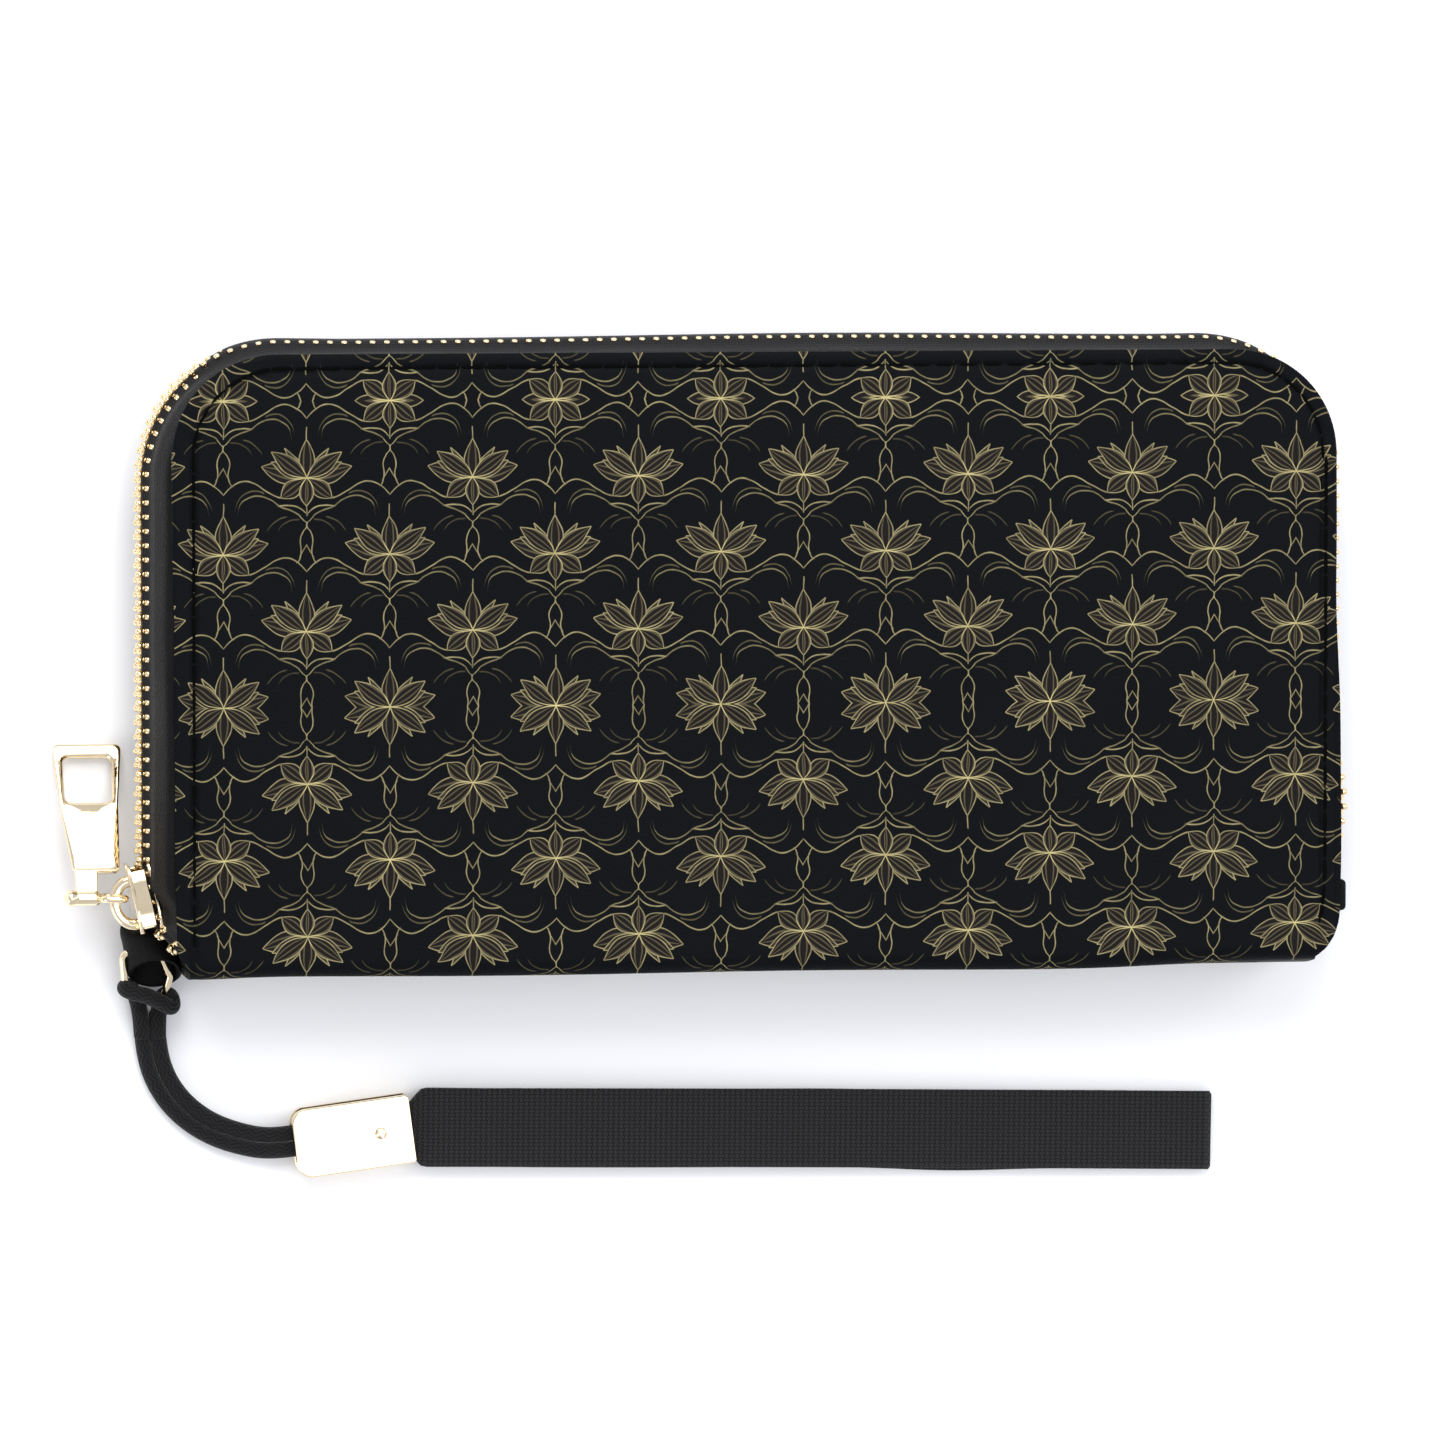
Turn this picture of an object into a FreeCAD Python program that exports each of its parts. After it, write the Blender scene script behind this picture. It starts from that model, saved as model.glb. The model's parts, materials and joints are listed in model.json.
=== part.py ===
import FreeCAD, Part
import math
import os

import Sketcher
from FreeCAD import Placement, Rotation, Vector

# A zip-around wallet lying on its back cover, with a wrist strap beside it. Millimetres.
# +X along the wallet, +Y from the spine to the top zip, +Z up through its thickness.
# The origin is the middle of the back cover's outer face.

doc = FreeCAD.newDocument("zip_around_wallet")
sheet = doc.addObject("Spreadsheet::Sheet", "Sheet")

sizes = {
    # the whole wallet
    "wallet_length": 188,
    "wallet_depth": 100,
    "wallet_thick": 25,
    "corner_radius": 17,
    "spine_corner_radius": 4,
    # the layers of each half, from the outside in
    "cover_thick": 1.0,
    "board_thick": 0.8,
    "board_inset": 4,
    "lining_thick": 0.5,
    "lining_inset": 3,
    "card_thick": 0.5,
    "card_length": 172,
    "card_bottom": 45,
    "card_step": 13,
    "card_first_top": 36,
    # the spine between the two folds
    "spine_thick": 0.9,
    "spine_gap": 0.3,
    "spine_left": 90.2,
    "spine_right": 93.5,
    "spine_lining_thick": 0.5,
    # the main zip
    "zip_left": 97,
    "zip_top": 50.2,
    "zip_right": 94.8,
    "zip_corner": 22,
    "zip_start": 43.2,
    "zip_end": 40,
    "tape_thick": 0.6,
    "tape_edge": 1.3,
    "tape_straight": 6.4,
    "tape_foot": 5,
    "tooth_pitch": 2.28,
    "tooth_along": 1.04,
    "tooth_wide": 2.4,
    "tooth_reach": 1.0,
    "tooth_leg": 2.6,
    "mouth_spread": 1.9,
    # the slider
    "slider_long": 11.3,
    "slider_low": 43.7,
    "slider_half_narrow": 4.3,
    "slider_half_wide": 5.7,
    "slider_half_thick": 2.05,
    "slider_wall": 0.6,
    "slider_slot": 1.0,
    "neck_half": 0.6,
    "neck_long": 3.4,
    "crown_radius": 2.9,
    "crown_hole": 1.4,
    "crown_wide": 3.2,
    # the pull
    "link_wire": 1.2,
    "link_bar": 2.8,
    "link_bar_left": 109.2,
    "pull_long": 25.2,
    "pull_wide_end": 10.8,
    "pull_wide_neck": 8.0,
    "pull_thick": 1.5,
    "pull_window": 7.6,
    "pull_tilt": 26,
    # the middle coin pocket
    "coin_wall": 0.6,
    "coin_gap": 4.2,
    "coin_length": 164,
    "coin_top": 35,
    "coin_slider_long": 8,
    "coin_slider_half": 2.4,
    # the wrist strap
    "loop_centre": 95.4,
    "loop_height": 6.2,
    "loop_half_wide": 4.7,
    "loop_half_high": 3.8,
    "loop_wall": 1.0,
    "loop_near": 46.3,
    "loop_far": 53.4,
    "ring_wire": 1.5,
    "cord_diameter": 2.5,
    "clamp_length": 19.2,
    "clamp_width": 11,
    "clamp_height": 5.4,
    "clamp_wall": 0.8,
    "clamp_x": 62.6,
    "clamp_y": 77.1,
    "clamp_turn": 7.6,
    "web_width": 12.7,
    "web_length": 130,
    "web_thick": 1.2,
    "web_gap": 0.1,
    "screw_head": 1.15,
}
for row, (alias, value) in enumerate(sizes.items(), start=1):
    sheet.set(f"A{row}", alias)
    sheet.set(f"B{row}", str(value))
    sheet.setAlias(f"B{row}", alias)
doc.recompute()


def cell(alias):
    return float(sheet.get(alias))


nodes = []


def keep(thing, label):
    thing.Label = label
    nodes.append(thing)
    return thing


def shape_node(label, shape, placement=None):
    feature = doc.addObject("Part::Feature", label)
    feature.Shape = shape
    if placement is not None:
        feature.Placement = placement
    return keep(feature, label)


def origin_plane(body, role):
    return next(f for f in body.Origin.OriginFeatures if f.Role == role)


def new_body(label, role, offset=None):
    # a body with one empty sketch on an origin plane; offset is an expression for the plane's height
    body = doc.addObject("PartDesign::Body", label)
    sketch = body.newObject("Sketcher::SketchObject", label + "_outline")
    sketch.AttachmentSupport = [(origin_plane(body, role), "")]
    sketch.MapMode = "FlatFace"
    if offset is not None:
        sketch.setExpression("AttachmentOffset.Base.z", offset)
    return body, sketch


def rectangle(sketch, left, right, bottom, top):
    # four lines whose distances from the sketch's origin are the four expressions
    corners = [Vector(-5, -5), Vector(5, -5), Vector(5, 5), Vector(-5, 5)]
    for k in range(4):
        sketch.addGeometry(Part.LineSegment(corners[k], corners[(k + 1) % 4]), False)
    for k in range(4):
        sketch.addConstraint(Sketcher.Constraint("Coincident", k, 2, (k + 1) % 4, 1))
    for k, way in enumerate(["Horizontal", "Vertical", "Horizontal", "Vertical"]):
        sketch.addConstraint(Sketcher.Constraint(way, k))
    for name, kind, line, value in [
        ("left", "DistanceX", 3, left),
        ("right", "DistanceX", 1, right),
        ("bottom", "DistanceY", 0, bottom),
        ("top", "DistanceY", 2, top),
    ]:
        rough = 5.0 if name in ("right", "top") else -5.0
        number = sketch.addConstraint(Sketcher.Constraint(kind, -1, 1, line, 1, rough))
        sketch.renameConstraint(number, name)
        sketch.setExpression("Constraints." + name, value)


def pad(body, sketch, length):
    feature = body.newObject("PartDesign::Pad", body.Name + "_pad")
    feature.Profile = sketch
    feature.setExpression("Length", length)
    doc.recompute()
    return feature


def round_edges(body, base, radius, wanted):
    # fillets the edges of the base feature whose middle the test wants
    names = [
        f"Edge{k + 1}" for k, edge in enumerate(base.Shape.Edges) if wanted(edge, edge.CenterOfMass)
    ]
    fillet = body.newObject("PartDesign::Fillet", body.Name + "_round" + str(len(body.Group)))
    fillet.Base = (base, names)
    fillet.setExpression("Radius", radius)
    doc.recompute()
    return fillet


def upright(edge):
    low, high = edge.BoundBox.ZMin, edge.BoundBox.ZMax
    return edge.BoundBox.XLength < 1e-6 and edge.BoundBox.YLength < 1e-6 and high > low


def layer(label, height, thick, left, right, bottom, top, rounds=()):
    # one flat layer of a half of the wallet, its upright corners rounded
    body, sketch = new_body(label, "XY_Plane", height)
    rectangle(sketch, left, right, bottom, top)
    last = pad(body, sketch, thick)
    for radius, side in rounds:
        last = round_edges(body, last, radius, lambda e, c: upright(e) and side * c.y > 0)
    return keep(body, label)


# the two halves: a cover, a board, a lining and four stepped card panels each
inner = "Sheet.cover_thick + Sheet.board_thick + Sheet.lining_thick"
for half in ["back", "front"]:
    def height(depth, thick, half=half):
        if half == "back":
            return depth
        return f"Sheet.wallet_thick - ({depth}) - {thick}"

    layer(
        half + "_cover",
        height("0", "Sheet.cover_thick"),
        "Sheet.cover_thick",
        "-Sheet.wallet_length / 2",
        "Sheet.wallet_length / 2",
        "-Sheet.wallet_depth / 2",
        "Sheet.wallet_depth / 2",
        [("Sheet.corner_radius", 1), ("Sheet.spine_corner_radius", -1)],
    )
    layer(
        half + "_board",
        height("Sheet.cover_thick", "Sheet.board_thick"),
        "Sheet.board_thick",
        "-Sheet.wallet_length / 2 + Sheet.board_inset",
        "Sheet.wallet_length / 2 - Sheet.board_inset",
        "-Sheet.wallet_depth / 2 + Sheet.board_inset",
        "Sheet.wallet_depth / 2 - Sheet.board_inset",
        [("Sheet.corner_radius", 1)],
    )
    layer(
        half + "_lining",
        height("Sheet.cover_thick + Sheet.board_thick", "Sheet.lining_thick"),
        "Sheet.lining_thick",
        "-Sheet.wallet_length / 2 + Sheet.lining_inset",
        "Sheet.wallet_length / 2 - Sheet.lining_inset",
        "-Sheet.wallet_depth / 2 + Sheet.lining_inset",
        "Sheet.wallet_depth / 2 - Sheet.lining_inset",
        [("Sheet.corner_radius + 1", 1)],
    )
    for step in range(4):
        layer(
            f"{half}_card_panel_{step + 1}",
            height(f"{inner} + {step} * Sheet.card_thick", "Sheet.card_thick"),
            "Sheet.card_thick",
            "-Sheet.card_length / 2",
            "Sheet.card_length / 2",
            "-Sheet.card_bottom",
            f"Sheet.card_first_top - {step} * Sheet.card_step",
        )

# the spine, which tips half as far as the front half opens
spine_z = "Sheet.cover_thick + Sheet.spine_gap"
spine_height = f"Sheet.wallet_thick - 2 * ({spine_z})"
layer(
    "spine_cover",
    spine_z,
    spine_height,
    "-Sheet.spine_left",
    "Sheet.spine_right",
    "-Sheet.wallet_depth / 2 - Sheet.spine_thick",
    "-Sheet.wallet_depth / 2",
)
layer(
    "spine_lining",
    "Sheet.wallet_thick * 0.2",
    "Sheet.wallet_thick * 0.6",
    "-Sheet.coin_length / 2",
    "Sheet.coin_length / 2",
    "-Sheet.wallet_depth / 2",
    "-Sheet.wallet_depth / 2 + Sheet.spine_lining_thick",
)

# the coin pocket's two walls stand on the spine's lining, each with a floor strip that closes the pocket
mid = cell("wallet_thick") / 2
for side, label in [(-1, "coin_wall_back"), (1, "coin_wall_front")]:
    low = "- Sheet.coin_gap / 2 - Sheet.coin_wall" if side < 0 else "+ Sheet.coin_gap / 2"
    layer(
        label,
        f"Sheet.wallet_thick / 2 {low}",
        "Sheet.coin_wall",
        "-Sheet.coin_length / 2",
        "Sheet.coin_length / 2",
        "-Sheet.wallet_depth / 2 + Sheet.spine_lining_thick",
        "Sheet.coin_top",
    )


def box(x0, x1, y0, y1, z0, z1):
    return Part.makeBox(x1 - x0, y1 - y0, z1 - z0, Vector(x0, y0, z0))


def prism(points, direction):
    # a flat polygon of points, extruded
    return Part.Face(Part.makePolygon([Vector(*p) for p in points] + [Vector(*points[0])])).extrude(direction)


# pleated end gussets, one V fold each, between a half and the coin pocket
half_inner = cell("cover_thick") + cell("board_thick") + cell("lining_thick") + 4 * cell("card_thick")
coin_out = cell("coin_gap") / 2 + cell("coin_wall")
gusset_thick = 0.4
gusset_x = cell("card_length") / 2 + 3.4
gusset_fold = cell("coin_length") / 2 - 2.5
lining_in = cell("cover_thick") + cell("board_thick") + cell("lining_thick")
for end, name in [(-1, "left"), (1, "right")]:
    for half, side in [("back", -1), ("front", 1)]:
        # from the lining, past the card panels' edge, in to the fold and back out to the coin wall
        outside = [(gusset_x, mid - lining_in), (gusset_x - 0.8, mid - half_inner - 0.3)]
        outside += [(gusset_fold, (mid - half_inner + coin_out) / 2), (gusset_fold + 2.0, coin_out)]
        inside = [(x - gusset_thick, w) for x, w in reversed(outside)]
        fold = [(end * x, -cell("card_bottom"), mid + side * w) for x, w in outside + inside]
        shape = prism(fold, Vector(0, cell("card_bottom") + cell("coin_top") - 3.2, 0))
        shape_node(f"gusset_{name}_{half}", shape)

# the main zip's path: up the left end, round the corner, along the top and down the right end
left, right, top = -cell("zip_left"), cell("zip_right"), cell("zip_top")
corner = cell("zip_corner")
start, stop = -cell("zip_start"), -cell("zip_end")
turns = [(left + corner, top - corner, math.pi), (right - corner, top - corner, math.pi / 2)]
runs = [top - corner - start, corner * math.pi / 2, right - left - 2 * corner, corner * math.pi / 2]
runs.append(top - corner - stop)
chain_length = sum(runs)


def on_path(s):
    # the point a distance s along the path, and the direction outwards there
    if s < runs[0]:
        return Vector(left, start + s, 0), Vector(-1, 0, 0)
    s -= runs[0]
    if s < runs[1]:
        angle = math.pi - s / corner
        out = Vector(math.cos(angle), math.sin(angle), 0)
        return Vector(left + corner, top - corner, 0) + out * corner, out
    s -= runs[1]
    if s < runs[2]:
        return Vector(left + corner + s, top, 0), Vector(0, 1, 0)
    s -= runs[2]
    if s < runs[3]:
        angle = math.pi / 2 - s / corner
        out = Vector(math.cos(angle), math.sin(angle), 0)
        return Vector(right - corner, top - corner, 0) + out * corner, out
    s -= runs[3]
    return Vector(right, top - corner - s, 0), Vector(1, 0, 0)


def along_path(outline, first, last):
    # carries a section, as (out, z) pairs, along the path's runs from first to last
    ends = [0]
    for run in runs:
        ends.append(ends[-1] + run)
    edges = []
    for k in range(first, last + 1):
        a, m, b = [on_path(ends[k] + f * runs[k])[0] for f in (0, 0.5, 1 - 1e-12)]
        edges.append(Part.Arc(a, m, b).toShape() if k % 2 else Part.LineSegment(a, b).toShape())
    y = start + ends[first]
    section = Part.makePolygon([Vector(left - u, y, z) for u, z in outline + outline[:1]])
    return Part.Wire(edges).makePipeShell([section], True, False)


# each tape runs straight from the teeth to a side band, which leans in to its foot under the cover's edge
tape_half = cell("tape_thick") / 2
foot = cell("tape_foot")
spread = cell("mouth_spread")
slider_low, slider_top = -cell("slider_low"), -cell("slider_low") + cell("slider_long")
mouth_end = slider_low + cell("neck_long") + 1.4
for half, side in [("back", -1), ("front", 1)]:
    z_edge = mid + side * cell("tape_edge")
    z_bend = mid + side * cell("tape_straight")
    z_foot = mid + side * (mid - cell("cover_thick"))
    z_sole = z_foot - side * cell("tape_thick")
    lean = 2.6
    tape_outline = [
        (tape_half, z_edge),
        (tape_half, z_bend),
        (-tape_half, z_bend),
        (-tape_half, z_edge),
    ]
    band_outline = [
        (tape_half, z_bend),
        (-lean + tape_half, z_foot),
        (-lean - foot, z_foot),
        (-lean - foot, z_sole),
        (-lean - tape_half, z_sole),
        (-tape_half, z_bend),
    ]
    # two solids that meet where the straight run ends, so that no collision hull bridges the corner
    straight, rest = along_path(tape_outline, 0, 0), along_path(tape_outline, 1, 4)
    # the edge stands back where the slider has spread the two rows
    mouth_z = sorted([mid, mid + side * (cell("tape_edge") + spread)])
    straight = straight.cut(box(left - 3, left + 3, start - 1, mouth_end, *mouth_z))
    shape_node("zip_tape_" + half, Part.makeCompound([straight, rest]))
    band = along_path(band_outline, 0, 4)
    # the foot ends where the board begins
    board = next(node for node in nodes if node.Label == half + "_board")
    shape_node("side_band_" + half, band.cut(board.Shape))


def tooth(place, out, side, shift):
    # one metal tooth: a head past the middle and two legs that grip the tape's edge
    along = Vector(-out.y, out.x, 0)
    wide, reach = cell("tooth_wide") / 2, cell("tooth_reach")
    edge, leg = cell("tape_edge"), cell("tooth_leg")
    outline = [(wide, -reach), (wide, leg), (tape_half, leg), (tape_half, edge)]
    outline += [(-u, w) for u, w in reversed(outline)]
    base = place - along * (cell("tooth_along") / 2)
    points = [base + out * u + Vector(0, 0, mid + side * (w + shift)) for u, w in outline]
    return Part.Face(Part.makePolygon(points + points[:1])).extrude(along * cell("tooth_along"))


pitch = cell("tooth_pitch")
for half, side, lead in [("back", -1, 0.25), ("front", 1, 0.75)]:
    count = int((chain_length - pitch) / pitch)
    row = []
    for k in range(count):
        place, out = on_path((k + lead) * pitch + 0.4)
        open_here = out.x < -0.99 and place.y < mouth_end - cell("tooth_along") / 2
        row.append(tooth(place, out, side, spread if open_here else 0))
    shape_node("zip_teeth_" + half, Part.makeCompound(row))

# black end tab over the chain's last teeth, on the right end
tab_y0, tab_y1 = stop - 2.5, stop + 7.5
tab_out = right + cell("tooth_wide") / 2 + 0.2
tab = box(tab_out, tab_out + 1.1, tab_y0, tab_y1, mid - 5.2, mid + 4.2)
tab = tab.fuse(box(right + tape_half, tab_out + 1.1, tab_y0 + 2.5, tab_y1, mid - 5.2, mid - 3.2))
shape_node("zip_end_tab", tab.removeSplitter())

# the slider: two plates joined by the neck, with side slots that the tapes pass through
narrow, wide = cell("slider_half_narrow"), cell("slider_half_wide")
thick, wall = cell("slider_half_thick"), cell("slider_wall")


def slider_shell(low, high, narrow, wide, thick, wall, slot):
    middle = (low + high) / 2

    def outline(inset, extra):
        zs = [(low - extra, wide - inset), (middle - 1, wide - inset), (middle + 2, narrow - inset)]
        zs.append((high + extra, narrow - inset))
        return [(y, z) for y, z in zs] + [(y, -z) for y, z in reversed(zs)]

    def slab(points, half):
        return prism([(-half, y, z) for y, z in points], Vector(2 * half, 0, 0))

    body = slab(outline(0, 0), thick)
    body = body.cut(slab(outline(wall + 0.15, 1), thick - wall))
    return body.cut(box(-slot / 2, slot / 2, low - 1, high + 1, -wide - 1, wide + 1))


shell = slider_shell(slider_low, slider_top, narrow, wide, thick, wall, cell("slider_slot"))
neck_half, neck_end = cell("neck_half"), slider_low + cell("neck_long")
neck = [(slider_low + 0.4, neck_half), (neck_end - 1.2, neck_half), (neck_end, 0)]
neck += [(y, -z) for y, z in reversed(neck[:2])]
inside = thick - wall
shell = shell.fuse(prism([(-inside, y, z) for y, z in neck], Vector(2 * inside, 0, 0)))
shell.translate(Vector(left, 0, mid))
shape_node("slider_body", shell.removeSplitter())

# the crown: a round arch on the outer plate, with the hole that the pull hangs in
crown_y = (slider_low + slider_top) / 2 - 0.2
crown_x = left - thick - 0.7
crown_r, crown_hole, crown_wide = cell("crown_radius"), cell("crown_hole"), cell("crown_wide")
crown = Part.makeCylinder(crown_r, crown_wide, Vector(crown_x, crown_y, mid - crown_wide / 2))
foot_half = crown_r + 0.6
crown = crown.fuse(
    box(left - thick - 0.9, left - thick, crown_y - foot_half, crown_y + foot_half, mid - 1.6, mid + 1.6)
)
crown = crown.cut(Part.makeCylinder(crown_hole, 10, Vector(crown_x - 0.3, crown_y, mid - 5)))
crown = crown.cut(box(left - thick, left + crown_r, crown_y - 5, crown_y + 5, mid - 5, mid + 5))
shape_node("slider_crown", crown.removeSplitter())


def wire_loop(points, radius, diameter):
    # a closed ring of round wire: straight sides between rounded corners
    edges = []
    count = len(points)
    cuts = []
    for k in range(count):
        here, before, after = points[k], points[k - 1], points[(k + 1) % count]
        into, out_of = (before - here).normalize(), (after - here).normalize()
        half_turn = into.getAngle(out_of) / 2
        reach = radius / math.tan(half_turn)
        centre = here + (into + out_of).normalize() * (radius / math.sin(half_turn))
        nearest = centre + (here - centre).normalize() * radius
        cuts.append((here + into * reach, nearest, here + out_of * reach))
    for k in range(count):
        first, mid_arc, last = cuts[k]
        edges.append(Part.Arc(first, mid_arc, last).toShape())
        edges.append(Part.LineSegment(last, cuts[(k + 1) % count][0]).toShape())
    path = Part.Wire(edges)
    direction = (cuts[0][0] - cuts[-1][2]).normalize()
    section = Part.Wire([Part.Circle(cuts[-1][2], direction, diameter / 2).toShape()])
    path = Part.Wire([edges[-1]] + edges[:-1])
    return path.makePipeShell([section], True, False)


# the link: an eye of wire through the crown's hole, on a thick cross bar
wire = cell("link_wire")
eye_x0, eye_x1 = crown_x - crown_r - 1.0, crown_x - 0.3
eye_z = crown_wide / 2 + wire / 2 + 0.5
eye = [
    Vector(eye_x1, crown_y, mid - eye_z),
    Vector(eye_x1, crown_y, mid + eye_z),
    Vector(eye_x0, crown_y, mid + eye_z),
    Vector(eye_x0, crown_y, mid - eye_z),
]
link = wire_loop(eye, 0.9, wire)
bar_r = cell("link_bar") / 2
bar_end = -cell("link_bar_left")
thin_r = 1.0
link = link.fuse(Part.makeCylinder(thin_r, eye_x0 - bar_end, Vector(bar_end, crown_y, mid), Vector(1, 0, 0)))
link = link.fuse(Part.makeCylinder(bar_r, 1.4, Vector(bar_end, crown_y, mid), Vector(1, 0, 0)))
shape_node("pull_link", link.removeSplitter())

# the pull tab: a tapered plate with a window, its sleeve round the link's thin bar
long, neck_w, end_w = cell("pull_long"), cell("pull_wide_neck") / 2, cell("pull_wide_end") / 2
half_t = cell("pull_thick") / 2
sleeve_r, sleeve_w = thin_r + 0.75, 1.6
pull_x = (bar_end + 1.4 + eye_x0 - wire / 2) / 2
offset = 1.3
plate = [(-neck_w, 4.3), (neck_w, 4.3), (end_w, long), (-end_w, long)]
tab = prism([(x, y, -half_t) for x, y in plate], Vector(0, 0, 2 * half_t))
uprights = [e for e in tab.Edges if e.BoundBox.ZLength > 1]
tab = tab.makeFillet(0.8, uprights)
window = cell("pull_window") / 2
hole = box(-window, window, long - 2 - 2 * window, long - 2, -half_t, half_t)
hole = hole.makeFillet(1.4, [e for e in hole.Edges if e.BoundBox.ZLength > 1])
tab = tab.cut(hole)
tab.translate(Vector(offset, 0, 0))
tab = tab.fuse(box(-sleeve_w, sleeve_w, 0, 4.7, -half_t, half_t))
tab = tab.fuse(Part.makeCylinder(sleeve_r, 2 * sleeve_w, Vector(-sleeve_w, 0, 0), Vector(1, 0, 0)))
tab = tab.cut(Part.makeCylinder(thin_r + 0.06, 4 * sleeve_w, Vector(-2 * sleeve_w, 0, 0), Vector(1, 0, 0)))
tilt = Rotation(Vector(1, 0, 0), -cell("pull_tilt"))
shape_node("pull_tab", tab.removeSplitter(), Placement(Vector(pull_x, crown_y, mid), tilt))

# the coin pocket's zip closes the gap between its walls: two tapes, two rows of teeth, a slider, a pull
coin_half = cell("coin_length") / 2
coin_y = cell("coin_top")
coin_chain = coin_y + 2.2
coin_tape = 0.5
for half, side in [("back", -1), ("front", 1)]:
    z_wall = mid + side * coin_out
    z_out = z_wall + side * coin_tape
    z_edge = mid + side * 1.1
    y_low, y_high = coin_chain - coin_tape / 2, coin_chain + coin_tape / 2
    outline = [(y_low, z_edge), (y_high, z_edge), (y_high, z_out), (coin_y - 3, z_out)]
    outline += [(coin_y - 3, z_wall), (y_low, z_wall)]
    tape = prism([(-coin_half, y, z) for y, z in outline], Vector(2 * coin_half, 0, 0))
    shape_node("coin_zip_tape_" + half, tape)
    row = []
    count = int((2 * coin_half - 8) / pitch)
    for k in range(count):
        x = -coin_half + 4 + (k + (0.25 if side < 0 else 0.75)) * pitch
        z0, z1 = mid - side * 0.6, mid + side * 1.1
        low, high = min(z0, z1), max(z0, z1)
        row.append(box(x - 0.5, x + 0.5, coin_chain - 0.8, coin_chain + 0.8, low, high))
    shape_node("coin_zip_teeth_" + half, Part.makeCompound(row))

coin_low = -coin_half + 6
coin_thick = 1.7
coin_s, coin_l = cell("coin_slider_half"), cell("coin_slider_long")
coin_slider = slider_shell(coin_low, coin_low + coin_l, coin_s, coin_s, coin_thick, 0.5, 1.0)
coin_slider.rotate(Vector(0, 0, 0), Vector(0, 0, 1), -90)
bridge_x = coin_low + coin_l / 2
bridge = Part.makeCylinder(2.0, 2, Vector(bridge_x, coin_thick, -1))
bridge = bridge.cut(Part.makeCylinder(1.0, 4, Vector(bridge_x, coin_thick + 0.35, -2)))
bridge = bridge.cut(box(bridge_x - 5, bridge_x + 5, -5, coin_thick, -5, 5))
coin_slider = coin_slider.fuse(bridge)
coin_slider.translate(Vector(0, coin_chain, mid))
shape_node("coin_slider", Part.makeCompound(coin_slider.removeSplitter().Solids))

# the coin slider's small pull: a flat tongue with an eye, lying along the zip
eye_y = coin_chain + coin_thick + 0.6
tongue = box(bridge_x + 2.3, bridge_x + 8.8, -0.4, 0.4, -2.2, 2.2)
far_edges = [e for e in tongue.Edges if e.BoundBox.YLength > 0.7 and e.CenterOfMass.x > bridge_x + 8]
tongue = tongue.makeFillet(1.6, far_edges)
arms = box(bridge_x - 0.4, bridge_x + 2.6, -0.4, 0.4, -2.2, 2.2)
arms = arms.cut(box(bridge_x - 1.6, bridge_x + 2.6, -1, 1, -1.3, 1.3))
pin = Part.makeCylinder(0.45, 3.4, Vector(bridge_x, 0, -1.7))
coin_pull = tongue.fuse(arms).fuse(pin)
coin_pull.translate(Vector(0, eye_y, mid))
shape_node("coin_pull", coin_pull.removeSplitter())

# the leather loop at the zip's start: an oval tube with a tongue sewn between the layers
loop_a, loop_b, loop_w = cell("loop_half_wide"), cell("loop_half_high"), cell("loop_wall")
loop_c = Vector(-cell("loop_centre"), -cell("loop_far"), cell("loop_height"))
loop_long = cell("loop_far") - cell("loop_near")


def oval(a, b):
    curve = Part.Ellipse(Vector(0, 0, 0), a, b)
    face = Part.Face(Part.Wire([curve.toShape()]))
    face.rotate(Vector(0, 0, 0), Vector(1, 0, 0), 90)
    face.translate(loop_c)
    return face.extrude(Vector(0, loop_long, 0))


tube = oval(loop_a, loop_b).cut(oval(loop_a - loop_w, loop_b - loop_w))
tongue = box(loop_c.x + loop_a - 1.2, -84, -49, -cell("loop_near"), half_inner, half_inner + 0.9)
tongue = tongue.cut(oval(loop_a - loop_w, loop_b - loop_w))
shape_node("strap_loop", tube.fuse(tongue).removeSplitter())

# the ring through it, a rounded triangle of wire that leans down towards the table
ring_r = cell("ring_wire") / 2
ring_plane = Rotation(Vector(1, 0, 0), 14)
ring_points = [(-101.5, -45.3), (-94.0, -45.3), (-94.0, -54.3)]
ring_points += [(-92.3, -56.4), (-99.4, -56.4), (-101.5, -54.2)]
hinge_y = (ring_points[0][1] + ring_points[3][1]) / 2
ring_place = Placement(Vector(0, hinge_y, cell("loop_height") - 0.4), ring_plane)
ring = wire_loop([Vector(x, y - hinge_y, 0) for x, y in ring_points], 1.0, cell("ring_wire"))
shape_node("ring", ring, ring_place)

# the cord: two strands hitched on the ring, side by side to the clamp; each is runs joined by arcs
cord_r = cell("cord_diameter") / 2


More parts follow.
